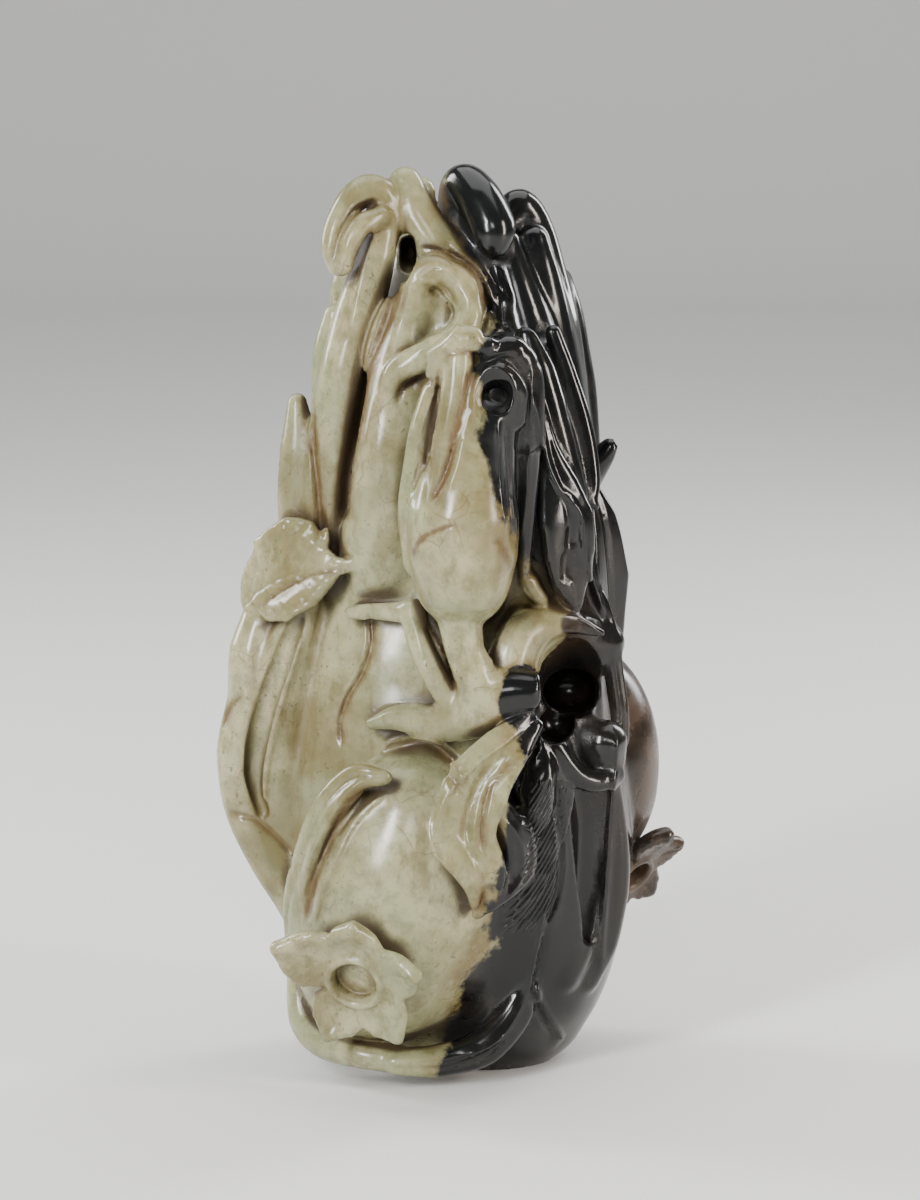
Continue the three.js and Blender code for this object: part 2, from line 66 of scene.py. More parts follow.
# Fingers of the large fruit, each from its root to its tip
FINGERS = {
  "hook": { "path": [
    [-18, 0, 72, 4.6], [-19.6, -3.4, 88, 5.2], [-18.6, -6, 103, 4.7], [-16.8, -7, 115, 4.3], [-15, -7, 124, 4],
    [-12.6, -7, 132, 3.5], [-10.8, -5.5, 140, 2.8]] },
  "hook_crook": { "path": [
    [-10.8, -4.5, 138, 2.8], [-10.6, -5, 143.2, 2.9], [-13, -5.8, 145.1, 2.6], [-15.8, -7.2, 143.5, 2.4],
    [-17.9, -9, 139.4, 2.3], [-18.5, -9.8, 136, 2.2], [-17.8, -10, 133.4, 1.9]] },
  "hook_barb": { "path": [
    [-16.8, -11, 133.8, 1.6], [-15.9, -11.2, 137, 1.8], [-13.8, -10.2, 140, 1.8], [-11.4, -8.6, 141, 1.8]] },
  "tip": { "path": [
    [9.5, -4, 106, 4.4], [7, -5, 120, 4.3], [2.8, -6, 129.5, 4], [-2, -5, 136, 3.8],
    [-5.6, -4, 141.5, 3.5], [-7.2, -3, 146, 2.7]] },
  "coil": { "path": [
    [-9, -4.5, 72, 6.4], [-10.5, -9.5, 86, 7.4], [-9.5, -12.5, 102, 7], [-8.8, -12.4, 113, 6],
    [-8.2, -10.6, 121.5, 4.8], [-6.8, -10.4, 127.5, 3.6]] },
  "coil_arch": { "path": [
    [-6.8, -12, 127.4, 3], [-5.4, -12.4, 131.2, 2.7], [-2.4, -12.5, 133, 2.5], [1, -13, 132, 2.4],
    [3.2, -14, 128.8, 2.3], [3.2, -15.6, 124.8, 2.3], [1, -17.4, 121.8, 2.4], [-1.5, -18.5, 120.6, 2.4]] },
  "coil_tail": { "path": [
    [0, -18, 120.5, 2.6], [-4, -19, 119.3, 2.5], [-8.4, -18.5, 117, 2.3], [-10, -17, 112.5, 1.6]] },
  "coil_web": { "path": [[-2, -9, 126.5, 4.2], [-1, -8.6, 120, 4.6]] },
  "black_crook": { "path": [
    [4, 2, 124, 5], [2.2, 1.5, 136, 4.4], [1.4, 0.5, 142.4, 3.4], [2.2, -2.2, 145.8, 3.4], [4.8, -6, 143.4, 3.8],
    [6.8, -8.6, 139.4, 3.7], [6.8, -9.2, 137.2, 3]] },
  "crook_web": { "path": [[5, -2, 131, 4.6], [5, -2.5, 140, 3.6]] },
  "right_tall": { "path": [
    [18.5, 2, 104, 5], [17, 2, 120, 4.6], [15.2, 3, 130.5, 3.9], [13.6, 3.5, 137.5, 3.4],
    [11.4, 2.5, 141.6, 3.2], [9.4, 1, 139.6, 2.6]] },
  "right_front": { "path": [
    [15, -6, 102, 5.2], [13.2, -6, 118, 4.8], [11, -5, 128, 3.9], [8.8, -3.5, 136, 2.8]] },
  "right_gloss": { "path": [
    [12.5, -15.4, 122.3, 2.2], [14, -16.2, 117, 2.9], [15.4, -16.7, 111.6, 3.2], [17, -16.8, 106, 3],
    [18.7, -16.5, 101, 2.5], [20.4, -16, 97, 1.7]] },
  "right_ridge": { "path": [
    [16.6, -11.2, 122.6, 1.3], [18.7, -11.6, 116.8, 1.5], [20.8, -12, 110.2, 1.5], [22.3, -12.2, 104.4, 1.4],
    [23, -12.6, 98.8, 1.3], [22.7, -13.6, 95.6, 1.1]] },
  "right_web": { "path": [
    [13, -10.6, 118, 3.2], [16.4, -11.6, 106, 4.2], [17.6, -13, 94, 4.6], [18.4, -13.6, 85, 3]] },
  "right_mid": { "path": [
    [18.6, -1, 104, 4.6], [16.8, -1.5, 118, 4.2], [14.8, -2, 130, 3.4], [13.6, -1, 136.5, 2.4]] },
  "right_low": { "path": [
    [20.6, 7, 98, 4.4], [20.2, 7, 112, 3.8], [19, 7, 123, 3], [17.8, 6, 129.5, 2.2]] },
  "left_short": { "path": [
    [-19, 4, 95, 4.2], [-19.3, 5, 108, 3.6], [-19.5, 4, 118, 3], [-18.8, 3, 124, 2]] },
  "left_back": { "path": [
    [-16.5, 8, 108, 4.2], [-17, 7, 121, 3], [-17, 6, 128.5, 2.6], [-15.6, 5, 133, 2]] },
  "left_low": { "path": [
    [-22.6, -1, 80, 4.4], [-24.4, -3, 94, 3.8], [-24.4, -4, 103, 3.2], [-24.8, -3.5, 110.5, 1.5]] },
}

# Fingers round the back: the first azimuth, the step between them and the height of each tip
BACK_START = 22
BACK_STEP = 27
BACK_TIPS = [128, 138, 143, 140, 144, 135]
BACK_ROOT = 62
BACK_RADIUS = 5.4
# Along a back finger: share of its length, share of the radius, how far it is sunk in the body
BACK_SHAPE = [[0, 0.8, 1.3], [0.28, 1, 0.5], [0.6, 0.86, 0.3], [0.85, 0.66, 0.3], [1, 0.42, 0.3]]
BACK_CLOSEST = 6.5
BACK_SWAY = [-0.1, 0.14]

# Branches, twigs and stems
BRANCHES = {
  "left_branch": { "path": [
    [-29.6, -4, 78, 3.2], [-31.8, -5.5, 70, 4.1], [-33, -6, 62, 3.5], [-34.2, -6, 53, 4],
    [-33.4, -6, 44, 3.7], [-30.2, -6.5, 35.8, 3.3], [-25.6, -7, 28, 3.1], [-22, -8, 20, 2.6]] },
  "left_rib": { "path": [
    [-24, -9, 78, 3], [-27, -8, 66, 4.2], [-28.8, -6, 52, 5], [-26.4, -5, 38, 4.2], [-21.6, -5, 26, 3.6]] },
  "back_branch": { "path": [
    [-23.5, -4, 25, 3.2], [-22.5, 11, 20, 3.2], [-14.5, 20, 16, 3], [-2, 24.5, 15, 3.2],
    [12, 23, 18, 3], [22, 17, 26, 2.8]] },
  "knot": { "path": [[2, -25, 63, 3.6], [6.5, -26, 65.4, 4.2], [10, -26, 66.6, 4]] },
  "cut_end": { "path": [[8, -26.4, 66.8, 3.6], [12.2, -26.6, 66.9, 3.4]] },
  "stem": { "path": [[1.5, -28, 79.5, 3.6], [2.5, -28, 73.5, 3], [5, -27, 67, 3.8]] },
  "twig": { "path": [[-6, -21.5, 79, 2], [-4, -24, 73, 2.2], [-1, -25, 67.5, 2.4], [2, -25.5, 63.5, 2.4]] },
  "thorn": { "path": [[-16, -17, 78, 1], [-11, -19, 78.5, 1.4], [-5.5, -21.5, 78.8, 1.8]] },
  "tendril": { "path": [
    [-12.5, -20, 60.5, 1], [-8, -22, 61.8, 2.1], [-1.5, -24, 61.5, 3.2], [5, -26, 63, 3.6]] },
  "handle": { "path": [
    [8, -24, 63.5, 3.6], [9.8, -23, 67, 3.8], [9.6, -22.4, 70.6, 3.9], [11, -21.4, 74.2, 3.5],
    [13.8, -20.4, 76.2, 2.5], [17.4, -19.8, 76.9, 1.7], [21, -19.2, 76.2, 1], [24.4, -18.4, 75, 0.4]] },
  "handle_knob": { "path": [[25.2, -14, 56.2, 3.6], [25.4, -13.4, 53.6, 3.2]] },
  "knob_sill": { "path": [
    [14.8, -20.8, 60, 1.2], [17.4, -20, 56, 1.6], [20.2, -18.8, 51.9, 1.8], [23.6, -17, 50.2, 1.9],
    [26.6, -14.4, 51, 1.8]] },
  "swell_rim": { "path": [
    [26, -9.6, 49, 1.8], [27.2, -8.4, 38.8, 2.2], [27, -7.6, 30, 2.4], [25.4, -7.4, 21.6, 2.2],
    [22.8, -8, 15.6, 1.6]] },
  "foot_knob": { "path": [[20.8, -11, 21.6, 2.5], [18.8, -12, 16.8, 2]] },
  "shelf": { "path": [[12.4, -14.6, 73, 4], [19, -12.6, 73.4, 4.6], [24.4, -10, 72, 4]] },
  "right_mass": { "path": [
    [7, -8, 118, 5], [10, -9, 104, 7.6], [12.6, -8.6, 88, 9.8], [13.6, -7.6, 72, 11], [10, -8, 50, 12],
    [8, -7, 28, 12]] },
}

# Leaves and the flat strips that run down the right side
LEAVES = {
  "shoulder_leaf": { "thick": 1.4, "cup": 0.2, "face": [-0.35, -0.85, 0.35], "path": [
    [-14.8, -14.5, 85.3, 1], [-18.4, -13.6, 85, 2], [-22, -12, 84, 6.6], [-26.4, -9.5, 82.6, 8.4],
    [-30.4, -6.5, 80, 6.2], [-32.6, -5, 77.5, 2.4]] },
  "shoulder_lobe": { "thick": 1.4, "cup": 0.2, "face": [-0.35, -0.9, 0.2], "path": [
    [-20.5, -11, 89, 3], [-25.5, -8.5, 88.4, 4.4], [-30.2, -6, 86, 3.2]] },
  "pod_leaf": { "thick": 2.2, "cup": 0.25, "face": [-0.6, -0.7, 0.3], "path": [
    [-10.6, -27, 53, 1.6], [-14.8, -25.4, 52.2, 3.2], [-19.2, -23, 46.8, 3.6], [-22.3, -20.6, 39, 3.4],
    [-24.4, -17.4, 30.6, 3], [-25, -14.8, 24.4, 2]] },
  "wavy_leaf": { "thick": 1.6, "cup": 0.2, "face": [0.15, -0.97, 0.1], "path": [
    [13, -27, 62, 2.6], [8.6, -30, 58, 4.6], [4, -32, 52, 6], [2.4, -32.6, 45, 5.4],
    [5, -31.6, 38.5, 4.4], [5.2, -30.4, 34.5, 2.8], [4.4, -29.6, 31.5, 1.2]] },
  "wavy_curl": { "thick": 2, "cup": 0.2, "face": [0.5, -0.85, 0.1], "path": [
    [6.4, -31, 50, 2.2], [10.2, -28.2, 44.5, 3.6], [10.6, -27.6, 38.5, 3.8], [6.4, -30, 33.6, 2]] },
  "ribbed_leaf": { "thick": 2, "cup": 0.1, "face": [0.5, -0.85, 0.1], "path": [
    [15.5, -20, 58, 3.4], [15.3, -21, 49, 5.8], [13.2, -20.5, 39, 5.6], [9.5, -19.5, 28, 2.4]] },
  "leaf_bulge": { "thick": 3, "cup": 0, "face": [0.4, -0.9, 0.1], "path": [
    [15, -21, 54.6, 2.2], [14.4, -22, 50.6, 3.7], [13.4, -22.6, 46.4, 3.8], [12.6, -22, 43, 2]] },
  "light_wedge": { "thick": 2, "cup": 0, "face": [0, -1, 0], "path": [
    [12, -20.2, 87, 0.8], [12.8, -20.2, 83.4, 2], [14.2, -19.8, 81.2, 1.7]] },
  "foot_leaf": { "thick": 2.6, "cup": 0.1, "face": [0.2, -0.9, -0.3], "path": [
    [14.5, -13, 32, 2.4], [13.2, -14, 21.5, 3], [11, -15, 12.5, 3.6], [5.5, -17.5, 6.6, 3.8],
    [-1.5, -19, 4.6, 3.4], [-8.5, -20, 4.6, 2.6]] },
  "foot_strip": { "thick": 2.4, "cup": 0, "face": [0.5, -0.85, 0], "path": [
    [16.8, -9.5, 29, 2.4], [16.4, -9, 18.5, 2.6], [16, -8, 10, 3], [16.4, -7, 5.5, 2.2]] },
  "foot_lobe": { "thick": 3.4, "cup": 0, "face": [-0.4, -0.9, 0], "path": [
    [-24.4, -6, 17, 3.2], [-23.6, -9, 9, 3.6], [-20, -13, 6, 3.6], [-14, -17, 5.4, 3.4],
    [-7, -19, 4.4, 2.8]] },
  "edge_leaf": { "thick": 1.8, "cup": 0.3, "face": [0.75, -0.6, 0.1], "path": [
    [21.6, -3.5, 98, 1.6], [23.8, -3, 91, 4], [25, -2, 81, 5.4], [25.4, -1, 72, 4], [25, -1, 64, 1.8]] },
  "edge_strip": { "thick": 2, "cup": 0, "face": [0.6, -0.8, 0], "path": [
    [20.8, -13.6, 96.5, 1], [21.6, -13.4, 89.5, 1.4], [22.6, -13, 84.6, 1.7], [24.2, -12, 78.6, 1.9],
    [26, -11.2, 72, 1.9], [26.9, -11, 65.6, 1.8], [27.6, -11, 60.6, 1.7], [28, -11, 56, 1.5]] },
  "black_leaf": { "thick": 2.2, "cup": 0.2, "face": [0.42, -0.9, 0.1], "path": [
    [13.9, -19.6, 113.2, 1], [15.2, -20.2, 105, 2.4], [16.9, -20.6, 98.8, 4.2], [18.1, -20.6, 93.6, 5.4],
    [18.7, -20.2, 88.6, 5.2], [18.9, -19.4, 83.9, 3.8], [19.8, -18.4, 79.8, 1.6]] },
  "nub": { "thick": 2, "cup": 0, "face": [0.8, -0.6, 0], "path": [
    [21.4, 0, 95.6, 3.2], [24, -0.4, 99.8, 2.6], [26, -1, 102.8, 1.5]] },
  "back_leaf": { "thick": 1.9, "cup": 0.16, "face": [-0.3, 0.9, 0.1], "path": [
    [8, 26, 22, 1.8], [3, 28, 29, 5.4], [-4, 28.4, 39, 9], [-10.5, 27, 50, 9.2], [-16, 23.5, 60, 6],
    [-19, 19.5, 67, 1.8]] },
  "back_leaf_small": { "thick": 1.8, "cup": 0.2, "face": [0.4, 0.85, 0.1], "path": [
    [14, 24, 24, 1.6], [17.5, 23, 33, 5], [16.5, 24.5, 44, 6.6], [12.5, 26, 54, 4.4], [9, 26, 61, 1.5]] },
}

# Round fruits and the swell of the large one at lower right: centre, half sizes,
# lean in the picture plane and tip towards the viewer in degrees
FRUITS = {
  "front_pomegranate": { "centre": [-8.6, -13, 31], "half": [17.4, 17.2, 26.4], "lean": 13, "tip": 8 },
  "right_swell": { "centre": [9, 2, 32], "half": [19.6, 20, 34], "lean": 0, "tip": 0 },
  "side_pomegranate": { "centre": [22.6, 10, 49.5], "half": [12.4, 13, 19.5], "lean": -4, "tip": 0 },
}

# Open calyx of each pomegranate: centre, axis, depth of the disc and petals as angle and length
CALYXES = {
  "front_calyx": { "centre": [-14.8, -29.5, 20.9], "axis": [-0.3, -0.88, -0.38], "cup": 3.9, "petals": [
    [82, 11.6], [23, 11.6], [-54, 11.4], [-117, 11.6], [155, 13.6]] },
  "side_calyx": { "centre": [30, 7.5, 30.5], "axis": [0.62, -0.56, -0.55], "cup": 2.8, "petals": [
    [74, 9.6], [14, 9.4], [-46, 8.6], [-104, 9.4], [168, 8]] },
}
PETAL_THICK = 1.5
PETAL_CUP = 0.22
PETAL_WIDTHS = [0.28, 0.48, 0.38, 0.08]
PETAL_REACH = [0.2, 0.55, 0.8, 1]
PETAL_LIFT = [0, 0.02, 0.1, 0.24]
CALYX_DEPTH = 2.2
CALYX_LIFT = 1.6
CALYX_TALL = 6
CALYX_RIM = 1.8

# The small finger citron that hangs at the front
SMALL_FRUIT = {
  "small_body": { "path": [
    [2, -26.5, 82.5, 5.4], [2, -27.5, 85.5, 7.8], [2, -28, 90, 8.8], [2.3, -28.2, 95, 8.7],
    [3, -28.6, 100.5, 7.6], [4.6, -29.4, 107, 6], [6.2, -29.8, 113, 5], [7, -30, 117, 3.8]] },
  "small_left": { "path": [
    [-4, -25, 88, 3.6], [-4.8, -25, 96, 3.4], [-3.6, -26, 107, 3.2], [-1.6, -27, 115.5, 2.6],
    [-0.8, -28, 119, 2]] },
  "small_front": { "path": [
    [-1.4, -31, 97, 2.4], [-0.2, -32.2, 107, 2.8], [1.2, -32.2, 116, 2.8], [1.4, -31.6, 121, 2.4]] },
  "small_crest": { "path": [
    [-1.4, -29.5, 118, 2.4], [-0.4, -30.5, 121, 2.7], [2.8, -31.5, 123.4, 2.4], [6, -31.6, 122.4, 1.8]] },
  "small_cap": { "path": [
    [12, -27, 108, 3], [12, -28, 117, 2.8], [10, -29.4, 121.3, 2.6], [6.4, -30.8, 121.4, 2]] },
  "small_right": { "thick": 2.6, "face": [0.4, -0.9, 0], "path": [
    [11.8, -21.8, 85, 1.2], [11.9, -23.6, 93, 2], [11.9, -25.2, 102, 2.9], [11.8, -25.8, 109, 3.2]] },
  "small_back": { "path": [[3, -17, 82, 5.6], [3.4, -18, 96, 6.4], [5, -19, 111, 5]] },
  "small_lip": { "path": [
    [5, -31, 111, 1.6], [4.8, -32, 116, 1.6], [7.6, -32.4, 119, 1.5], [10.4, -32, 116, 1.6],
    [10.4, -30.8, 111, 1.6]] },
}

# Sinkings cut back into the stone: drilled holes and the hollow behind the handle
SINKINGS = {
  "leaf_hole_high": { "path": [
    [19.8, -22.8, 91.8, 1.2], [19.7, -22.8, 90, 1.3]] },
  "leaf_hole_low": { "path": [
    [19.3, -22.8, 87.6, 1.5], [19.1, -22.8, 84.9, 1.6]] },
  "coil_hole": { "path": [[-2.1, -14.2, 126.2, 1.3], [-2.5, -14, 124, 1.3]] },
  "small_hole": { "thick": 2.3, "face": [1, 0, 0], "path": [
    [7.4, -37, 115, 3.2], [7.4, -33, 114.6, 3.1], [7.2, -27, 114, 2]] },
  "handle_hollow": { "thick": 5.6, "face": [1, 0, 0], "path": [
    [20, -27, 67.6, 8.4], [20, -19.4, 67.4, 8.2], [20, -12, 64.4, 5], [19.4, -4, 63.2, 4.2]] },
  "hollow_low": { "path": [[16.8, -24, 60.4, 2.6], [17.4, -12, 59.4, 3]] },
  "right_gap": { "path": [
    [11.8, -13.8, 126, 1.9], [13.4, -14, 123.2, 2.5], [15.6, -14.8, 119.6, 1.9], [17.9, -15.4, 115, 1.2],
    [19.8, -15.8, 109.9, 1], [20.9, -16, 104.6, 0.8]] },
  "branch_groove": { "path": [
    [-24.7, -12.2, 76, 1.4], [-27, -12, 70, 1.9], [-29.4, -11.2, 63.2, 2], [-31.2, -10.2, 56, 1.9],
    [-31.8, -9.6, 50, 1.7], [-30.6, -9.4, 43.6, 1]] },
  "top_gap": { "thick": 1.5, "face": [1, 0, 0], "path": [
    [-7, -13, 134.6, 4.2], [-6.8, 0, 134.6, 3.6], [-6.4, 7, 134, 2]] },
  "side_hollow": { "thick": 2.6, "face": [1, 0, 0], "path": [
    [22.2, -15, 48.4, 3], [22.7, -13.8, 41, 3.8], [22.6, -12.6, 33, 3], [21.9, -11.6, 26, 1.8],
    [21.2, -11.4, 21.6, 0.8]] },
}

FRAME_PULL = 0.6
LIMB_STEPS = 6
EDGE_THINNING = 0.35
PETAL_VEINS = [1.6, -0.5, 0.36, 0.34]

# The black begins this far along X at each height; spots shift the border for single forms
DARK_EDGE = [
    [0, -3], [5, -2], [12, 0.5], [17.5, 3.4], [24, 5.6], [31, 6], [42, 7.6], [52, 8.4], [57, 10], [65, 8.5],
    [72, 12], [84, 12], [92, 9.6], [100, 8], [110, 6.2], [118, 5], [124, 5.6], [130, 4.4], [136, 2.2], [148, -1.4],
]
DARK_SPOTS = [
    [11.5, -26.5, 66.6, 4.5, 9], [10, -20.5, 73.5, 6, -8], [15, -18, 77, 6, -10], [13, -18, 83, 3.6, -8],
    [9, -30, 106, 7, 5], [8, -29, 120, 5, 4], [2.5, -34.5, 46, 7, -6], [12.5, -24, 60, 4, 4],
]
RUSSET_SPOTS = [
    [30, 8, 52, 16, 1], [33, 6, 30, 10, 1.4], [-24, -4, 103, 9, 0.5], [15, -18, 77, 7, 0.8],
]
HOLLOW_REACHES = (0.8, 2.0)
# How far the deep measure looks out; the recesses it finds are painted dark as shade
SHADE_REACHES = (2.5, 4.5)
STAIN_SPREAD = 1.5
CALYX_LIP = 0.55
HATCH_FRONT = -14.0
HATCH_ROUNDS = 4

# Colours, linear
PALE_GREEN = (0.235, 0.245, 0.135, 1)
PALE_CREAM = (0.37, 0.345, 0.205, 1)
DEEP_GREEN = (0.1, 0.105, 0.045, 1)
OLIVE = (0.125, 0.093, 0.03, 1)
RUSSET = (0.1, 0.056, 0.02, 1)
# Dark brown painted as shade into the deep recesses
PAINTED_SHADE_BROWN = (0.035, 0.02, 0.008, 1)
FLECK = (0.06, 0.04, 0.018, 1)
BLACK = (0.005, 0.0055, 0.0055, 1)
SMOKE = (0.035, 0.028, 0.02, 1)
BROWN_SKIN = (0.075, 0.045, 0.025, 1)
FLOOR_COLOUR = (0.62, 0.62, 0.61)
WORLD_COLOUR = (0.12, 0.122, 0.126)
WARM = (1.0, 0.9, 0.8)

# The photograph's viewpoint
AIM_POINT = (0.00164, 0.0, 0.0774)
CAMERA_ELEVATION = 9.0
CAMERA_DISTANCE = 0.75
CAMERA_LENS = 136.8
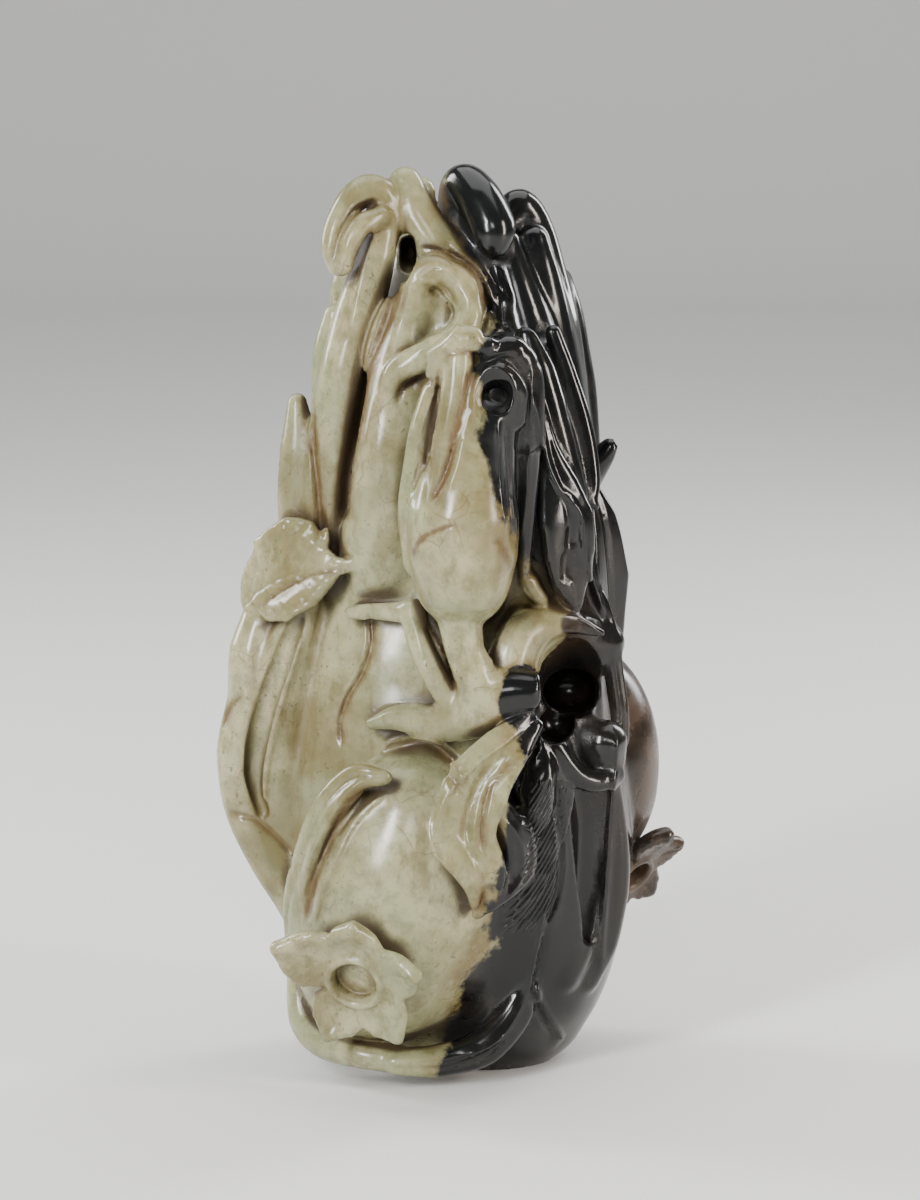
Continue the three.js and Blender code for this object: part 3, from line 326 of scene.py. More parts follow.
# Lines cut from the front: width, depth (below nought stands proud), stain, and x and z along them
LINES = {
    "branch_crease": [0.5, 0.6, 0.7, [[-36.5, 43.8], [-32, 42.4], [-28.7, 39.8], [-25.5, 36.5]]],
    "node_crease": [0.5, 0.5, 0.7, [[-33.6, 64], [-35.6, 61], [-37.4, 57]]],
    "rib_edge": [0.55, -0.5, 0.3, [[-23.8, 73.5], [-26, 67], [-28.4, 58.5], [-30, 51], [-30.4, 45]]],
    "body_crease": [0.5, 0.6, 0.9, [[-12.8, 77.5], [-12.6, 72.6], [-14, 68], [-16.3, 64], [-17.6, 60], [-17.4, 55.6]]],
    "body_step": [0.8, -0.45, 0.2, [[-13.8, 77], [-13.7, 72.8], [-15.2, 68.2], [-17.4, 64.3], [-18.8, 60]]],
    "hook_groove": [1.1, 1.3, 0.9, [[-8, 131], [-9.6, 125], [-12, 118.6], [-14, 111.5], [-15.5, 105], [-16.6, 98.5], [-17, 92]]],
    "low_groove": [0.8, 1.2, 1, [[-22.4, 110], [-21.8, 103], [-21.2, 96], [-20.8, 89]]],
    "crook_groove": [0.6, 0.5, 0.3, [[-11.6, 142.8], [-14.8, 142.4], [-17, 139.8], [-18.2, 136.4], [-18.4, 134]]],
    "barb_groove": [0.5, 0.5, 0.4, [[-12.2, 139.6], [-14.2, 136], [-15.4, 132.6]]],
    "hook_edge": [0.7, -0.4, 0, [[-11.8, 140], [-13.2, 135], [-14.6, 129], [-16, 122]]],
    "coil_lip": [0.5, -0.5, 0, [[-5.6, 131.6], [-2.2, 130.6], [0.2, 128], [1.1, 125.8], [-0.5, 123.2], [-3, 121.7], [-6, 120.3]]],
    "coil_back": [0.5, 0.8, 0.8, [[-4.6, 136], [-0.6, 135.2], [3, 133.2], [5.2, 130], [5.8, 126.4], [5.2, 123]]],
    "tip_groove": [0.6, 0.9, 0.6, [[-1.4, 145.6], [0.4, 141.4], [3.4, 137], [6.6, 132.4], [9.5, 127.6]]],
    "tip_nail": [0.3, 0.3, 0.5, [[-9, 146.2], [-7.4, 146.8], [-5.2, 146]]],
    "tip_fold": [0.8, 0.7, 0.2, [[-1.4, 137.6], [1.8, 132.6], [5, 128.4], [7.4, 124.4]]],
    "tail_under": [0.5, 0.7, 0.8, [[-1.5, 117.2], [-5, 116.2], [-7.4, 114.8], [-8.4, 112]]],
    "small_left_edge": [0.3, -0.3, 0, [[-6.2, 96], [-5.6, 104], [-4.3, 110], [-2.8, 114], [-1.6, 116.4]]],
    "small_left_fold": [0.35, 0.4, 0.5, [[-3.9, 101], [-3.3, 107], [-2.3, 113], [-1.6, 117]]],
    "small_front_edge": [0.35, 0.4, 0.4, [[-1.6, 119.4], [-1.8, 114], [-2.5, 106.5], [-3.7, 98.6], [-2.9, 97.4]]],
    "small_front_stain": [0.5, 0.55, 1.3, [[3.4, 119.4], [2.5, 115.2], [1, 109.8], [0, 105], [-1.2, 101.4], [-3, 98]]],
    "small_centre_edge": [0.45, -0.3, 0, [[4.2, 116.4], [3.2, 112.4], [2, 107.6], [0.8, 103], [-0.6, 100]]],
    "small_ring": [0.3, 0.22, 1.5, [[-5.6, 88.6], [-5.3, 91], [-4, 92.8], [-1.8, 94.2], [1.4, 95.3]]],
    "small_drop": [0.45, 0.4, 0.8, [[6.8, 91.6], [7.9, 92.4], [8.9, 89.6], [9.4, 86.8]]],
    "hole_lip": [0.5, -0.6, 0, [[4.2, 112], [4, 115.6], [5.2, 118.6], [7.2, 119.4], [9.3, 118.2], [10.2, 115.4], [9.4, 112]]],
    "cap_low": [0.3, 0.4, 0.3, [[5.2, 119.8], [7.8, 121], [11, 121.4]]],
    "cap_high": [0.3, 0.35, 0.3, [[5.4, 121.4], [8, 122.4], [10.6, 122.6]]],
    "crest_line": [0.35, 0.35, 1, [[-1.4, 121], [1, 121.8], [3.4, 121.6], [5, 120.6]]],
    "strip_left": [0.35, -0.45, 0, [[7.4, 111.4], [7.7, 105], [8.1, 98.6], [9, 94]]],
    "strip_groove": [0.5, 0.6, 0, [[8.8, 111], [9, 104], [9.4, 97], [10, 91]]],
    "strip_right": [0.4, -0.45, 0, [[12.8, 119], [12.9, 113.6], [12.7, 105.6], [12.1, 97.6], [11.2, 91]]],
    "leaf_rim_low": [0.5, -0.7, 0, [
        [13.2, 114.6], [14.2, 109.6], [15.5, 103.4], [17.5, 99.1], [19.9, 96.3], [21.2, 93.8], [21.5, 89.3],
        [22.3, 85.4], [23.6, 81.6], [25, 77.3]]],
    "edge_leaf_rim": [0.5, -0.6, 0, [[22.9, 96], [25.2, 92.6], [27.2, 90], [28.2, 86.4], [28.2, 83.2], [27.2, 80], [27.6, 77.4]]],
    "edge_leaf_dip": [1.1, 0.9, 0, [[24.6, 89], [25.4, 84.6], [25, 80.4]]],
    "arch_rim": [0.4, -0.4, 0, [[13.8, 67.6], [14.2, 71.2], [15.9, 74.2], [18.9, 75.8], [24, 74.4]]],
    "arch_crest": [0.5, -0.4, 0, [[6.6, 71.6], [8.2, 75.8], [10.4, 78.6], [14.4, 79], [17.6, 78.2], [20.8, 77.8], [24.6, 74.8]]],
    "pod_rim": [0.5, -0.5, 0.2, [[-13.6, 52.6], [-16.2, 51.0], [-18.2, 48.0], [-20.8, 43.0], [-22.6, 38.6], [-24.0, 31.8]]],
    "pod_groove": [0.5, 0.5, 1.2, [[-11.4, 51.2], [-14.8, 50.2], [-17.4, 46.8], [-19.6, 41.6], [-21.7, 35.4], [-23.1, 28.8]]],
    "pod_edge": [0.55, -0.6, 0.2, [[-10.6, 50.0], [-13.4, 47.8], [-16.0, 44.6], [-18.2, 40.0], [-20.4, 34.8], [-22.1, 28.8]]],
    "pomegranate_arc": [0.55, -0.55, 0.5, [
        [-11.4, 55.8], [-9.6, 57.4], [-7, 58.4], [-3.9, 58.9], [-1.1, 57.6], [1.4, 55.4], [3.2, 53]]],
    "pomegranate_arc_low": [0.7, 0.5, 0.9, [[-9.4, 55.8], [-6.6, 56.8], [-3.8, 57.2], [-1.4, 55.8], [1, 53.4], [2.2, 51]]],
    "tendril_edge": [0.35, -0.35, 0.3, [[-12, 61.2], [-9.8, 62.7], [-6.3, 63.2], [-3, 63]]],
    "wavy_rim": [0.45, -0.6, 0, [
        [7.8, 59.4], [4.2, 56.4], [1.2, 53.6], [-0.8, 50.8], [-2.2, 47.4], [-2.6, 44.4], [-1.8, 41.4], [0.9, 39]]],
    "wavy_dip": [1.3, 0.9, 0.3, [[7.2, 56.6], [4.6, 52.6], [3, 48], [2.2, 44]]],
    "wavy_fold": [0.5, 0.7, 1, [[10.6, 56.6], [8.2, 54.8], [6.6, 52.8], [5.4, 49.4], [5, 45.6], [5.6, 42]]],
    "wavy_fold_high": [0.35, -0.4, 0, [[14, 62.2], [10.8, 60.6], [8, 59], [5.4, 56.9]]],
    "wavy_fold_low": [0.35, -0.4, 0, [[14.4, 57.8], [10.8, 56.8], [8.6, 55.4], [7, 53.2], [6.4, 50.8]]],
    "wavy_bump": [1.4, -0.9, 0, [[3.4, 42], [4.2, 39], [4.8, 36]]],
    "wavy_end": [0.4, 0.5, 0.9, [[1.6, 32.4], [3.2, 32], [4.8, 33], [5.6, 36.4]]],
    "curl_rim": [0.4, -0.4, 0, [[8.4, 47.4], [10.6, 44.8], [11.8, 40.8], [11.4, 37], [9, 33.6]]],
    "swell_edge": [0.5, 0.8, 0, [[14.4, 58], [11.6, 54], [10.4, 50.4], [11.6, 46.6]]],
    "ribbed_spine": [0.5, 0.6, 0, [[17, 52], [17.6, 46], [17.9, 38], [17, 31], [14.4, 25.6]]],
    "foot_rib_left": [0.45, -0.55, 0, [[15.6, 30], [14.4, 24], [13.2, 18], [11.6, 12.4], [8, 8], [2, 5.6]]],
    "foot_rib_mid": [0.45, 0.6, 0, [[15.4, 26], [14.4, 20], [13.6, 14.6], [15, 10], [17, 6]]],
    "foot_rib_right": [0.4, -0.5, 0, [[14, 16.4], [15.6, 12], [17.6, 8], [19, 4]]],
    "strip_outer": [0.6, -0.6, 0, [[27, 58], [26.6, 48], [26, 38], [25.4, 28], [24.8, 18]]],
    "twig_edge": [0.3, -0.35, 0, [[-6.3, 79], [-5.1, 75.6], [-4.2, 72], [-2.9, 68.6]]],
    "twig_stain": [0.5, 0.5, 1.4, [[-4.1, 77.6], [-2.2, 74.2], [-0.5, 70.8], [1.2, 67]]],
    "stem_left": [0.35, -0.35, 0, [[-0.4, 78], [-0.3, 74], [1.1, 70.4]]],
    "stem_right": [0.3, -0.35, 0, [[3.6, 78.4], [4.5, 74.2], [6.2, 71]]],
    "stem_dip": [0.9, 0.6, 0, [[1.6, 78], [2, 74], [3.4, 70.6]]],
    "thorn_edge": [0.3, -0.3, 0.2, [[-16.7, 78.2], [-14, 79.4], [-10.4, 79.4], [-7, 79.4]]],
    "shoulder_fold": [0.45, 0.5, 0.6, [[-15.6, 85.4], [-19, 84.4], [-23.4, 83], [-27, 80.6], [-30, 78.4]]],
    "shoulder_roll": [0.9, -0.5, 0, [[-19.4, 82.6], [-23.6, 80.8], [-27.4, 78.4]]],
}
# Hatching on the ribbed leaf: its two borders as x and z, spacing, lean, width, depth and finest edge
HATCH_RIGHT = [[16.6, 52], [17.4, 44.1], [17.8, 38], [16.8, 30.4], [13.8, 25.7]]
HATCH_LEFT = [[12.8, 52], [12.2, 44], [11.4, 38.6], [10, 33], [8.2, 28]]
HATCH_SPACING = 0.72
HATCH_LEAN = (0.83, -0.55)
HATCH_BEND = 0.05
HATCH_WIDTH = 0.17
HATCH_DEPTH = 0.26
HATCH_FADE = 0.9
HATCH_EDGE = 0.2
FRONT_SPAN = (-40.0, -7.0)
LINE_FADE = 1.6
WOBBLE = 0.16
WOBBLE_CELL = 7.0
SEED = 5


# How softly each group of forms runs into the stone behind it
BLENDS = {"fingers": 1.1, "branches": 0.9, "leaves": 0.6, "small": 0.7, "fruits": 1.1, "calyx": 0.45}
SINK_BLEND = 0.6
WIDE_BLENDS = {
    "right_swell": 9.0, "right_mass": 4.0, "left_rib": 2.2, "coil_web": 2.0, "crook_web": 2.0, "small_back": 2.2,
    "right_web": 2.0, "pod_leaf": 1.4, "side_hollow": 2.0, "swell_rim": 2.0, "foot_knob": 1.6, "shelf": 1.6,
    "right_ridge": 0.7, "light_wedge": 1.2, "knob_sill": 0.8,
}

# Veins cut into the face of a leaf: spacing of the side veins, their slope, width and depth
VEINS = {
    "shoulder_leaf": [2.6, 0.9, 0.42, 0.32],
    "shoulder_lobe": [2.6, 0.9, 0.42, 0.25],
    "pod_leaf": [0, 0, 0.6, 0.5],
    "wavy_leaf": [0, 0, 0.6, 0.5],
    "ribbed_leaf": [1.7, 2.2, 0.38, 0.3],
    "foot_leaf": [0, 0, 0.6, 0.5],
    "foot_strip": [1.5, 0.6, 0.4, 0.35],
    "edge_leaf": [0, 0, 0.7, 0.5],
    "edge_strip": [0, 0, 0.7, 0.6],
    "black_leaf": [0, 0, 0.5, 0.3],
    "back_leaf": [4.0, 0.9, 0.5, 0.4],
    "back_leaf_small": [3.4, 0.9, 0.5, 0.4],
}
# Rings round a branch: share of its length, width and depth; a negative depth stands proud
RINGS = {
    "cut_end": [[0.15, 0.5, 0.6], [0.62, 0.45, 0.5]],
    "small_cap": [[0.62, 0.4, 0.45], [0.74, 0.4, 0.45]],
}


def spline(rows, steps):
    """Points along a uniform Catmull-Rom curve, and the row number of each as a real number."""
    rows = np.array(rows, float)
    padded = np.vstack([2 * rows[0] - rows[1], rows, 2 * rows[-1] - rows[-2]])
    out, place = [], []
    for row in range(len(rows) - 1):
        before, start, end, after = padded[row:row + 4]
        for step in range(steps + (row == len(rows) - 2)):
            t = step / steps
            leave, arrive = (end - before) / 2, (after - start) / 2
            out.append(
                (2 * t**3 - 3 * t**2 + 1) * start + (t**3 - 2 * t**2 + t) * leave
                + (3 * t**2 - 2 * t**3) * end + (t**3 - t**2) * arrive
            )
            place.append(row + t)
    return np.array(out), np.array(place)


def unit(vector):
    return vector / max(np.linalg.norm(vector), 1e-9)


def square_to(vector, axis):
    return unit(vector - axis * float(vector @ axis))


class Limb:
    """A bent form: its curve, frames, half widths and half depths at close steps."""

    def __init__(self, path, thick=None, cup=0.0, face=(0, -1, 0)):
        path = np.array(path, float)
        self.points, place = spline(path[:, :3], LIMB_STEPS)
        self.width = np.interp(place, np.arange(len(path)), path[:, 3])
        self.depth = np.minimum(thick, self.width) if thick else self.width
        self.cup = cup
        self.flat = thick is not None
        self.share = place / place[-1]
        self.length = np.concatenate([[0], np.cumsum(np.linalg.norm(np.diff(self.points, axis=0), axis=1))])
        tangents = np.gradient(self.points, axis=0)
        aim = unit(np.array(face, float))
        normal = aim
        self.normals, self.across = [], []
        for tangent in tangents:
            tangent = unit(tangent)
            normal = square_to(normal + aim * FRAME_PULL, tangent)
            self.normals.append(normal)
            self.across.append(np.cross(normal, tangent))


class Stone:
    """Distance to the carving's surface on a grid, in millimetres and negative inside."""

    def __init__(self):
        self.axes = [np.arange(low, high, VOXEL, dtype=np.float32) for low, high in zip(GRID_LOW, GRID_HIGH)]
        self.value = np.full([len(axis) for axis in self.axes], FAR, np.float32)

    def window(self, low, high):
        cuts = []
        for axis, start, end in zip(self.axes, low, high):
            first = int(np.searchsorted(axis, start))
            cuts.append(slice(first, max(int(np.searchsorted(axis, end)), first + 1)))
        x, y, z = [axis[cut] for axis, cut in zip(self.axes, cuts)]
        return tuple(cuts), x[:, None, None], y[None, :, None], z[None, None, :]

    def add(self, cuts, distance, blend):
        here = self.value[cuts]
        mix = np.clip(0.5 + 0.5 * (here - distance) / blend, 0, 1)
        self.value[cuts] = here * (1 - mix) + distance * mix - blend * mix * (1 - mix)

    def cut(self, cuts, distance, blend):
        here = self.value[cuts]
        mix = np.clip(0.5 - 0.5 * (here + distance) / blend, 0, 1)
        self.value[cuts] = here * (1 - mix) - distance * mix + blend * mix * (1 - mix)

    def measure(self, limb, veins=None, rings=()):
        """The distance to a limb in a window round it."""
        reach = limb.width.max() * (1 + abs(limb.cup)) + MARGIN
        low, high = limb.points.min(0) - reach, limb.points.max(0) + reach
        cuts, *_ = self.window(low, high)
        start = [cut.start for cut in cuts]
        distance = np.full([cut.stop - cut.start for cut in cuts], FAR, np.float32)
        for step in range(len(limb.points) - 1):
            a, b = limb.points[step], limb.points[step + 1]
            size = max(limb.width[step:step + 2]) * (1 + abs(limb.cup)) + MARGIN
            part, x, y, z = self.window(np.minimum(a, b) - size, np.maximum(a, b) + size)
            along = b - a
            t = ((x - a[0]) * along[0] + (y - a[1]) * along[1] + (z - a[2]) * along[2]) / max(along @ along, 1e-9)
            t = np.clip(t, 0, 1).astype(np.float32)
            offset = [x - a[0] - t * along[0], y - a[1] - t * along[1], z - a[2] - t * along[2]]
            squared = offset[0]**2 + offset[1]**2 + offset[2]**2
            width = limb.width[step] + t * (limb.width[step + 1] - limb.width[step])
            if rings:
                spot = limb.length[step] + t * (limb.length[step + 1] - limb.length[step])
                for share, wide, deep in rings:
                    width = width - deep * np.exp(-(((spot - share * limb.length[-1]) / wide) ** 2))
            if limb.flat:
                depth = limb.depth[step] + t * (limb.depth[step + 1] - limb.depth[step])
                out, side = [
                    sum(o * (v[step][i] + t * (v[step + 1][i] - v[step][i])) for i, o in enumerate(offset))
                    for v in (limb.normals, limb.across)
                ]
                squared_side = side**2
                beyond = np.maximum(squared - out**2 - squared_side, 0)
                out = out - limb.cup * squared_side / width
                if veins:
                    spacing, slope, wide, deep = veins
                    spot = limb.length[step] + t * (limb.length[step + 1] - limb.length[step])
                    groove = np.exp(-squared_side / wide**2)
                    if spacing:
                        phase = (spot + slope * np.abs(side)) / spacing
                        groove = np.maximum(groove, np.exp(-(((phase - np.round(phase)) * spacing / wide) ** 2)))
                    out = out + np.where(out > 0, deep * groove, 0)
                edge = np.maximum(np.abs(side) - (width - depth), 0)
                found = np.sqrt(edge**2 + out**2 + beyond) - depth * (1 - EDGE_THINNING * squared_side / width**2)
            else:
                found = np.sqrt(squared) - width
            target = distance[tuple(
                slice(cut.start - first, cut.stop - first) for cut, first in zip(part, start)
            )]
            room = tuple(slice(0, length) for length in target.shape)
            np.minimum(target, found[room], out=target)
        return cuts, distance

    def ellipsoid(self, centre, half, lean, tip):
        reach = max(half) + MARGIN
        cuts, x, y, z = self.window(np.array(centre) - reach, np.array(centre) + reach)
        x, y, z = x - centre[0], y - centre[1], z - centre[2]
        c, s = math.cos(math.radians(lean)), math.sin(math.radians(lean))
        x, z = x * c - z * s, x * s + z * c
        c, s = math.cos(math.radians(tip)), math.sin(math.radians(tip))
        y, z = y * c + z * s, z * c - y * s
        near = np.sqrt((x / half[0])**2 + (y / half[1])**2 + (z / half[2])**2)
        slope = np.sqrt((x / half[0]**2)**2 + (y / half[1]**2)**2 + (z / half[2]**2)**2)
        return cuts, near * (near - 1) / np.maximum(slope, 1e-6)

    def sample(self, points):
        """The distance at each point, read between the grid's points."""
        place = (points - np.array([axis[0] for axis in self.axes])) / VOXEL
        place = np.clip(place, 0, np.array(self.value.shape) - 1.001)
        whole = place.astype(int)
        part = place - whole
        total = np.zeros(len(points))
        for corner in np.ndindex(2, 2, 2):
            weight = np.prod(np.where(corner, part, 1 - part), axis=1)
            i, j, k = (whole + corner).T
            total += weight * self.value[i, j, k]
        return total

    def slope(self, points):
        step = VOXEL * 0.6
        return np.stack([
            (self.sample(points + offset) - self.sample(points - offset)) / (2 * step)
            for offset in np.eye(3) * step
        ], axis=1)


def body_distance(stone):
    """The large fruit without its fingers, round in plan but narrower in depth."""
    cuts, x, y, z = stone.window(GRID_LOW, GRID_HIGH)
    heights = np.arange(-20, 160, 0.5)
    levels, radii = np.array(BODY_PROFILE, float).T
    profile = np.interp(heights, np.append(levels, levels[-1] + 2), np.append(radii, 0))
    weights = np.hanning(13)
    profile = np.convolve(np.pad(profile, 6, mode="edge"), weights / weights.sum(), mode="valid")
    radius = np.interp(z, heights, profile).astype(np.float32)
    steep = np.interp(z, heights, np.gradient(profile, heights)).astype(np.float32)
    across, deep = x - BODY_AXIS[0], (y - BODY_AXIS[1]) / BODY_DEPTH
    ring = np.sqrt(across**2 + deep**2) + 1e-6
    stretch = np.sqrt((across / ring)**2 + (deep / ring / BODY_DEPTH)**2 + steep**2)
    return cuts, (ring - radius) / stretch


def body_radius(height):
    levels, radii = np.array(BODY_PROFILE, float).T
    if height > levels[-1]:
        fall = (radii[-1] - radii[-2]) / (levels[-1] - levels[-2])
        return radii[-1] + fall * (height - levels[-1])
    return float(np.interp(height, levels, radii))


def back_finger(number):
    azimuth = math.radians(BACK_START + BACK_STEP * number)
    top, sway = BACK_TIPS[number], BACK_SWAY[number % 2]
    path = []
    for share, size, sunk in BACK_SHAPE:
        height = BACK_ROOT + (top - BACK_ROOT) * share
        radius = size * BACK_RADIUS
        reach = max(body_radius(height) - radius * sunk, BACK_CLOSEST)
        turn = azimuth + sway * share * share
        path.append([
            BODY_AXIS[0] + math.cos(turn) * reach,
            BODY_AXIS[1] + math.sin(turn) * reach * BODY_DEPTH,
            height, radius,
        ])
    return path


def add_calyx(stone, centre, axis, cup, petals):
    """Five pointed petals, grooved from the middle, round a sunk disc."""
    outward, middle = unit(np.array(axis, float)), np.array(centre, float)
    for angle, length in petals:
        turn = math.radians(angle)
        run = square_to(np.array([math.cos(turn), 0, math.sin(turn)]), outward)
        path = [
            [*(middle + run * reach * length + outward * lift * length), width * length]
            for reach, lift, width in zip(PETAL_REACH, PETAL_LIFT, PETAL_WIDTHS)
        ]
        limb = Limb(path, PETAL_THICK, PETAL_CUP, axis)
        stone.add(*stone.measure(limb, veins=PETAL_VEINS), BLENDS["calyx"])
    reach = cup + CALYX_TALL + MARGIN
    cuts, x, y, z = stone.window(middle - reach, middle + reach)
    offset = [x - middle[0], y - middle[1], z - middle[2]]
    high = sum(o * v for o, v in zip(offset, outward))
    ring = np.sqrt(np.maximum(sum(o * o for o in offset) - high**2, 0))
    wall = cup + 0.4 + (CALYX_LIFT - high) * (CALYX_RIM - 0.4) / CALYX_TALL
    disc = np.maximum(ring - wall, np.abs(high - CALYX_LIFT + CALYX_TALL / 2) - CALYX_TALL / 2)
    stone.add(cuts, disc.astype(np.float32), BLENDS["calyx"])
    lip = np.hypot(ring - cup - CALYX_LIP, high - CALYX_LIFT) - CALYX_LIP
    stone.add(cuts, lip.astype(np.float32), BLENDS["calyx"])
    hole = np.maximum(ring - cup * 0.93, CALYX_LIFT - CALYX_DEPTH - high)
    stone.cut(cuts, hole.astype(np.float32), 0.5)


def line_reach(x, z, line):
    """How far each point lies from a line on the front, and how near the line's ends."""
    points, _ = spline(line, 6)
    runs = np.linalg.norm(np.diff(points, axis=0), axis=1)
    starts = np.concatenate([[0], np.cumsum(runs)])
    nearest = np.full(np.broadcast(x, z).shape, FAR)
    end = np.zeros(nearest.shape)
    for a, b, run, start in zip(points[:-1], points[1:], runs, starts):
        along = b - a
        t = np.clip(((x - a[0]) * along[0] + (z - a[1]) * along[1]) / max(run * run, 1e-9), 0, 1)
        found = np.hypot(x - a[0] - t * along[0], z - a[1] - t * along[1])
        spot = start + t * run
        closer = found < nearest
        nearest = np.where(closer, found, nearest)
        end = np.where(closer, np.minimum(spot, starts[-1] - spot), end)
    return nearest, np.clip(end / LINE_FADE, 0, 1)


def engrave(stone, wide, deep, line):
    """A line cut straight back from the front, or raised, that fades out at its ends."""
    points = np.array(line, float)
    low, high = points.min(0) - 4 * wide, points.max(0) + 4 * wide
    cuts, x, _, z = stone.window([low[0], FRONT_SPAN[0], low[1]], [high[0], FRONT_SPAN[1], high[1]])
    away, end = line_reach(x, z, line)
    change = deep * np.exp(-((away / wide) ** 2)) * (0.25 + 0.75 * end)
    stone.value[cuts] += change.astype(np.float32)


def wobble(stone):
    """The slight unevenness of stone that is ground and polished by hand."""
    rng = np.random.default_rng(SEED)
    shape = [int((axis[-1] - axis[0]) / WOBBLE_CELL) + 3 for axis in stone.axes]
    lattice = rng.uniform(-1, 1, shape).astype(np.float32)
    for side, axis in enumerate(stone.axes):
        place = (axis - axis[0]) / WOBBLE_CELL
        whole = place.astype(int)
        part = place - whole
        part = (part * part * (3 - 2 * part)).astype(np.float32)
        spread = [1, 1, 1]
        spread[side] = -1
        low, high = np.take(lattice, whole, axis=side), np.take(lattice, whole + 1, axis=side)
        lattice = low + (high - low) * part.reshape(spread)
    stone.value += WOBBLE * lattice


def carve():
    stone = Stone()
    cuts, distance = body_distance(stone)
    stone.value[cuts] = distance
    for name, fruit in FRUITS.items():
        blend = WIDE_BLENDS.get(name, BLENDS["fruits"])
        stone.add(*stone.ellipsoid(fruit["centre"], fruit["half"], fruit["lean"], fruit["tip"]), blend)
    groups = [
        ("fingers", {f"back_{number}": {"path": back_finger(number)} for number in range(len(BACK_TIPS))}),
        ("branches", BRANCHES), ("fingers", FINGERS), ("leaves", LEAVES), ("small", SMALL_FRUIT),
    ]
    for group, members in groups:
        for name, shape in members.items():
            found = stone.measure(Limb(**shape), VEINS.get(name), RINGS.get(name, ()))
            stone.add(*found, WIDE_BLENDS.get(name, BLENDS[group]))
    for calyx in CALYXES.values():
        add_calyx(stone, **calyx)
    for name, shape in SINKINGS.items():
        stone.cut(*stone.measure(Limb(**shape)), WIDE_BLENDS.get(name, SINK_BLEND))
    wobble(stone)
    for wide, deep, _, line in LINES.values():
        engrave(stone, wide, deep, line)
    height = stone.axes[2][None, None, :]
    stone.value = np.maximum(stone.value, -height)
    return stone


def surface_net(stone):
    """A closed mesh of four-sided faces through the grid where the distance is nought."""
    value = stone.value
    inside = value < 0
    count = sum(
        inside[i:inside.shape[0] - 1 + i, j:inside.shape[1] - 1 + j, k:inside.shape[2] - 1 + k].astype(np.int8)
        for i, j, k in np.ndindex(2, 2, 2)
    )
    active = (count > 0) & (count < 8)
    ids = np.full(active.shape, -1, np.int32)
    cells = np.argwhere(active)
    ids[active] = np.arange(len(cells))
    corners = list(np.ndindex(2, 2, 2))
    levels = {corner: value[tuple((cells + corner).T)] for corner in corners}
    total, hits = np.zeros((len(cells), 3)), np.zeros(len(cells))
    for first in corners:
        for axis in range(3):
            if first[axis]:
                continue
            second = tuple(1 if i == axis else v for i, v in enumerate(first))
            low, high = levels[first], levels[second]
            crossed = (low < 0) != (high < 0)
            share = np.where(crossed, low / np.where(crossed, low - high, 1), 0)
            spot = np.array(first) + share[:, None] * (np.array(second) - np.array(first))
            total += spot * crossed[:, None]
            hits += crossed
    origin = np.array([axis[0] for axis in stone.axes])
    points = origin + (cells + total / hits[:, None]) * VOXEL
    faces = []
    for axis in range(3):
        one, two = (axis + 1) % 3, (axis + 2) % 3
        low = [slice(1, -1)] * 3
        high = [slice(1, -1)] * 3
        low[axis], high[axis] = slice(None, -1), slice(1, None)
        start, end = inside[tuple(low)], inside[tuple(high)]
        for turned, change in ((False, start & ~end), (True, end & ~start)):
            spots = np.argwhere(change)
            spots[:, one] += 1
            spots[:, two] += 1
            ring = []
            for back_one, back_two in ((1, 1), (0, 1), (0, 0), (1, 0)):
                cell = spots.copy()
                cell[:, one] -= back_one
                cell[:, two] -= back_two
                ring.append(ids[tuple(cell.T)])
            faces.append(np.stack(ring[::-1] if turned else ring, axis=1))
    return points, np.concatenate(faces)


def relax(stone, points, faces, rounds):
    """Evens out the mesh and puts its points back on the surface."""
    edges = np.concatenate([faces[:, [i, (i + 1) % 4]] for i in range(4)])
    near = np.bincount(edges[:, 0], minlength=len(points))
    for _ in range(rounds):
        mean = np.stack([
            np.bincount(edges[:, 0], weights=points[edges[:, 1], axis], minlength=len(points)) / near
            for axis in range(3)
        ], axis=1)
        points = points + 0.5 * (mean - points)
        level, slope = stone.sample(points), stone.slope(points)
        move = np.clip(level, -VOXEL / 2, VOXEL / 2) / np.maximum((slope**2).sum(1), 0.3)
        points = points - slope * move[:, None]
    points[:, 2] = np.where(points[:, 2] < 0.08, 0, points[:, 2])
    return points


def thin_out(thing, most):
    count = sum(len(face.vertices) - 2 for face in thing.data.polygons)
    if count > most:
        fewer = thing.modifiers.new("fewer", "DECIMATE")
        fewer.ratio = most / count
        fewer.use_collapse_triangulate = True
        shape = bpy.data.meshes.new_from_object(thing.evaluated_get(bpy.context.evaluated_depsgraph_get()))
        thing.modifiers.clear()
        thing.data = shape


def hatch_share(points):
    """How fully the hatching is cut at each point: one on the ribbed leaf and nought off it."""
    right, left = spline(HATCH_RIGHT, 8)[0][::-1], spline(HATCH_LEFT, 8)[0][::-1]
    x, y, z = points.T
    inside = np.minimum(x - np.interp(z, left[:, 1], left[:, 0]), np.interp(z, right[:, 1], right[:, 0]) - x)
    inside = np.minimum(inside, np.minimum(right[-1, 1] - z, z - right[0, 1]))
    return np.clip(inside / HATCH_FADE, 0, 1) * (y < HATCH_FRONT)


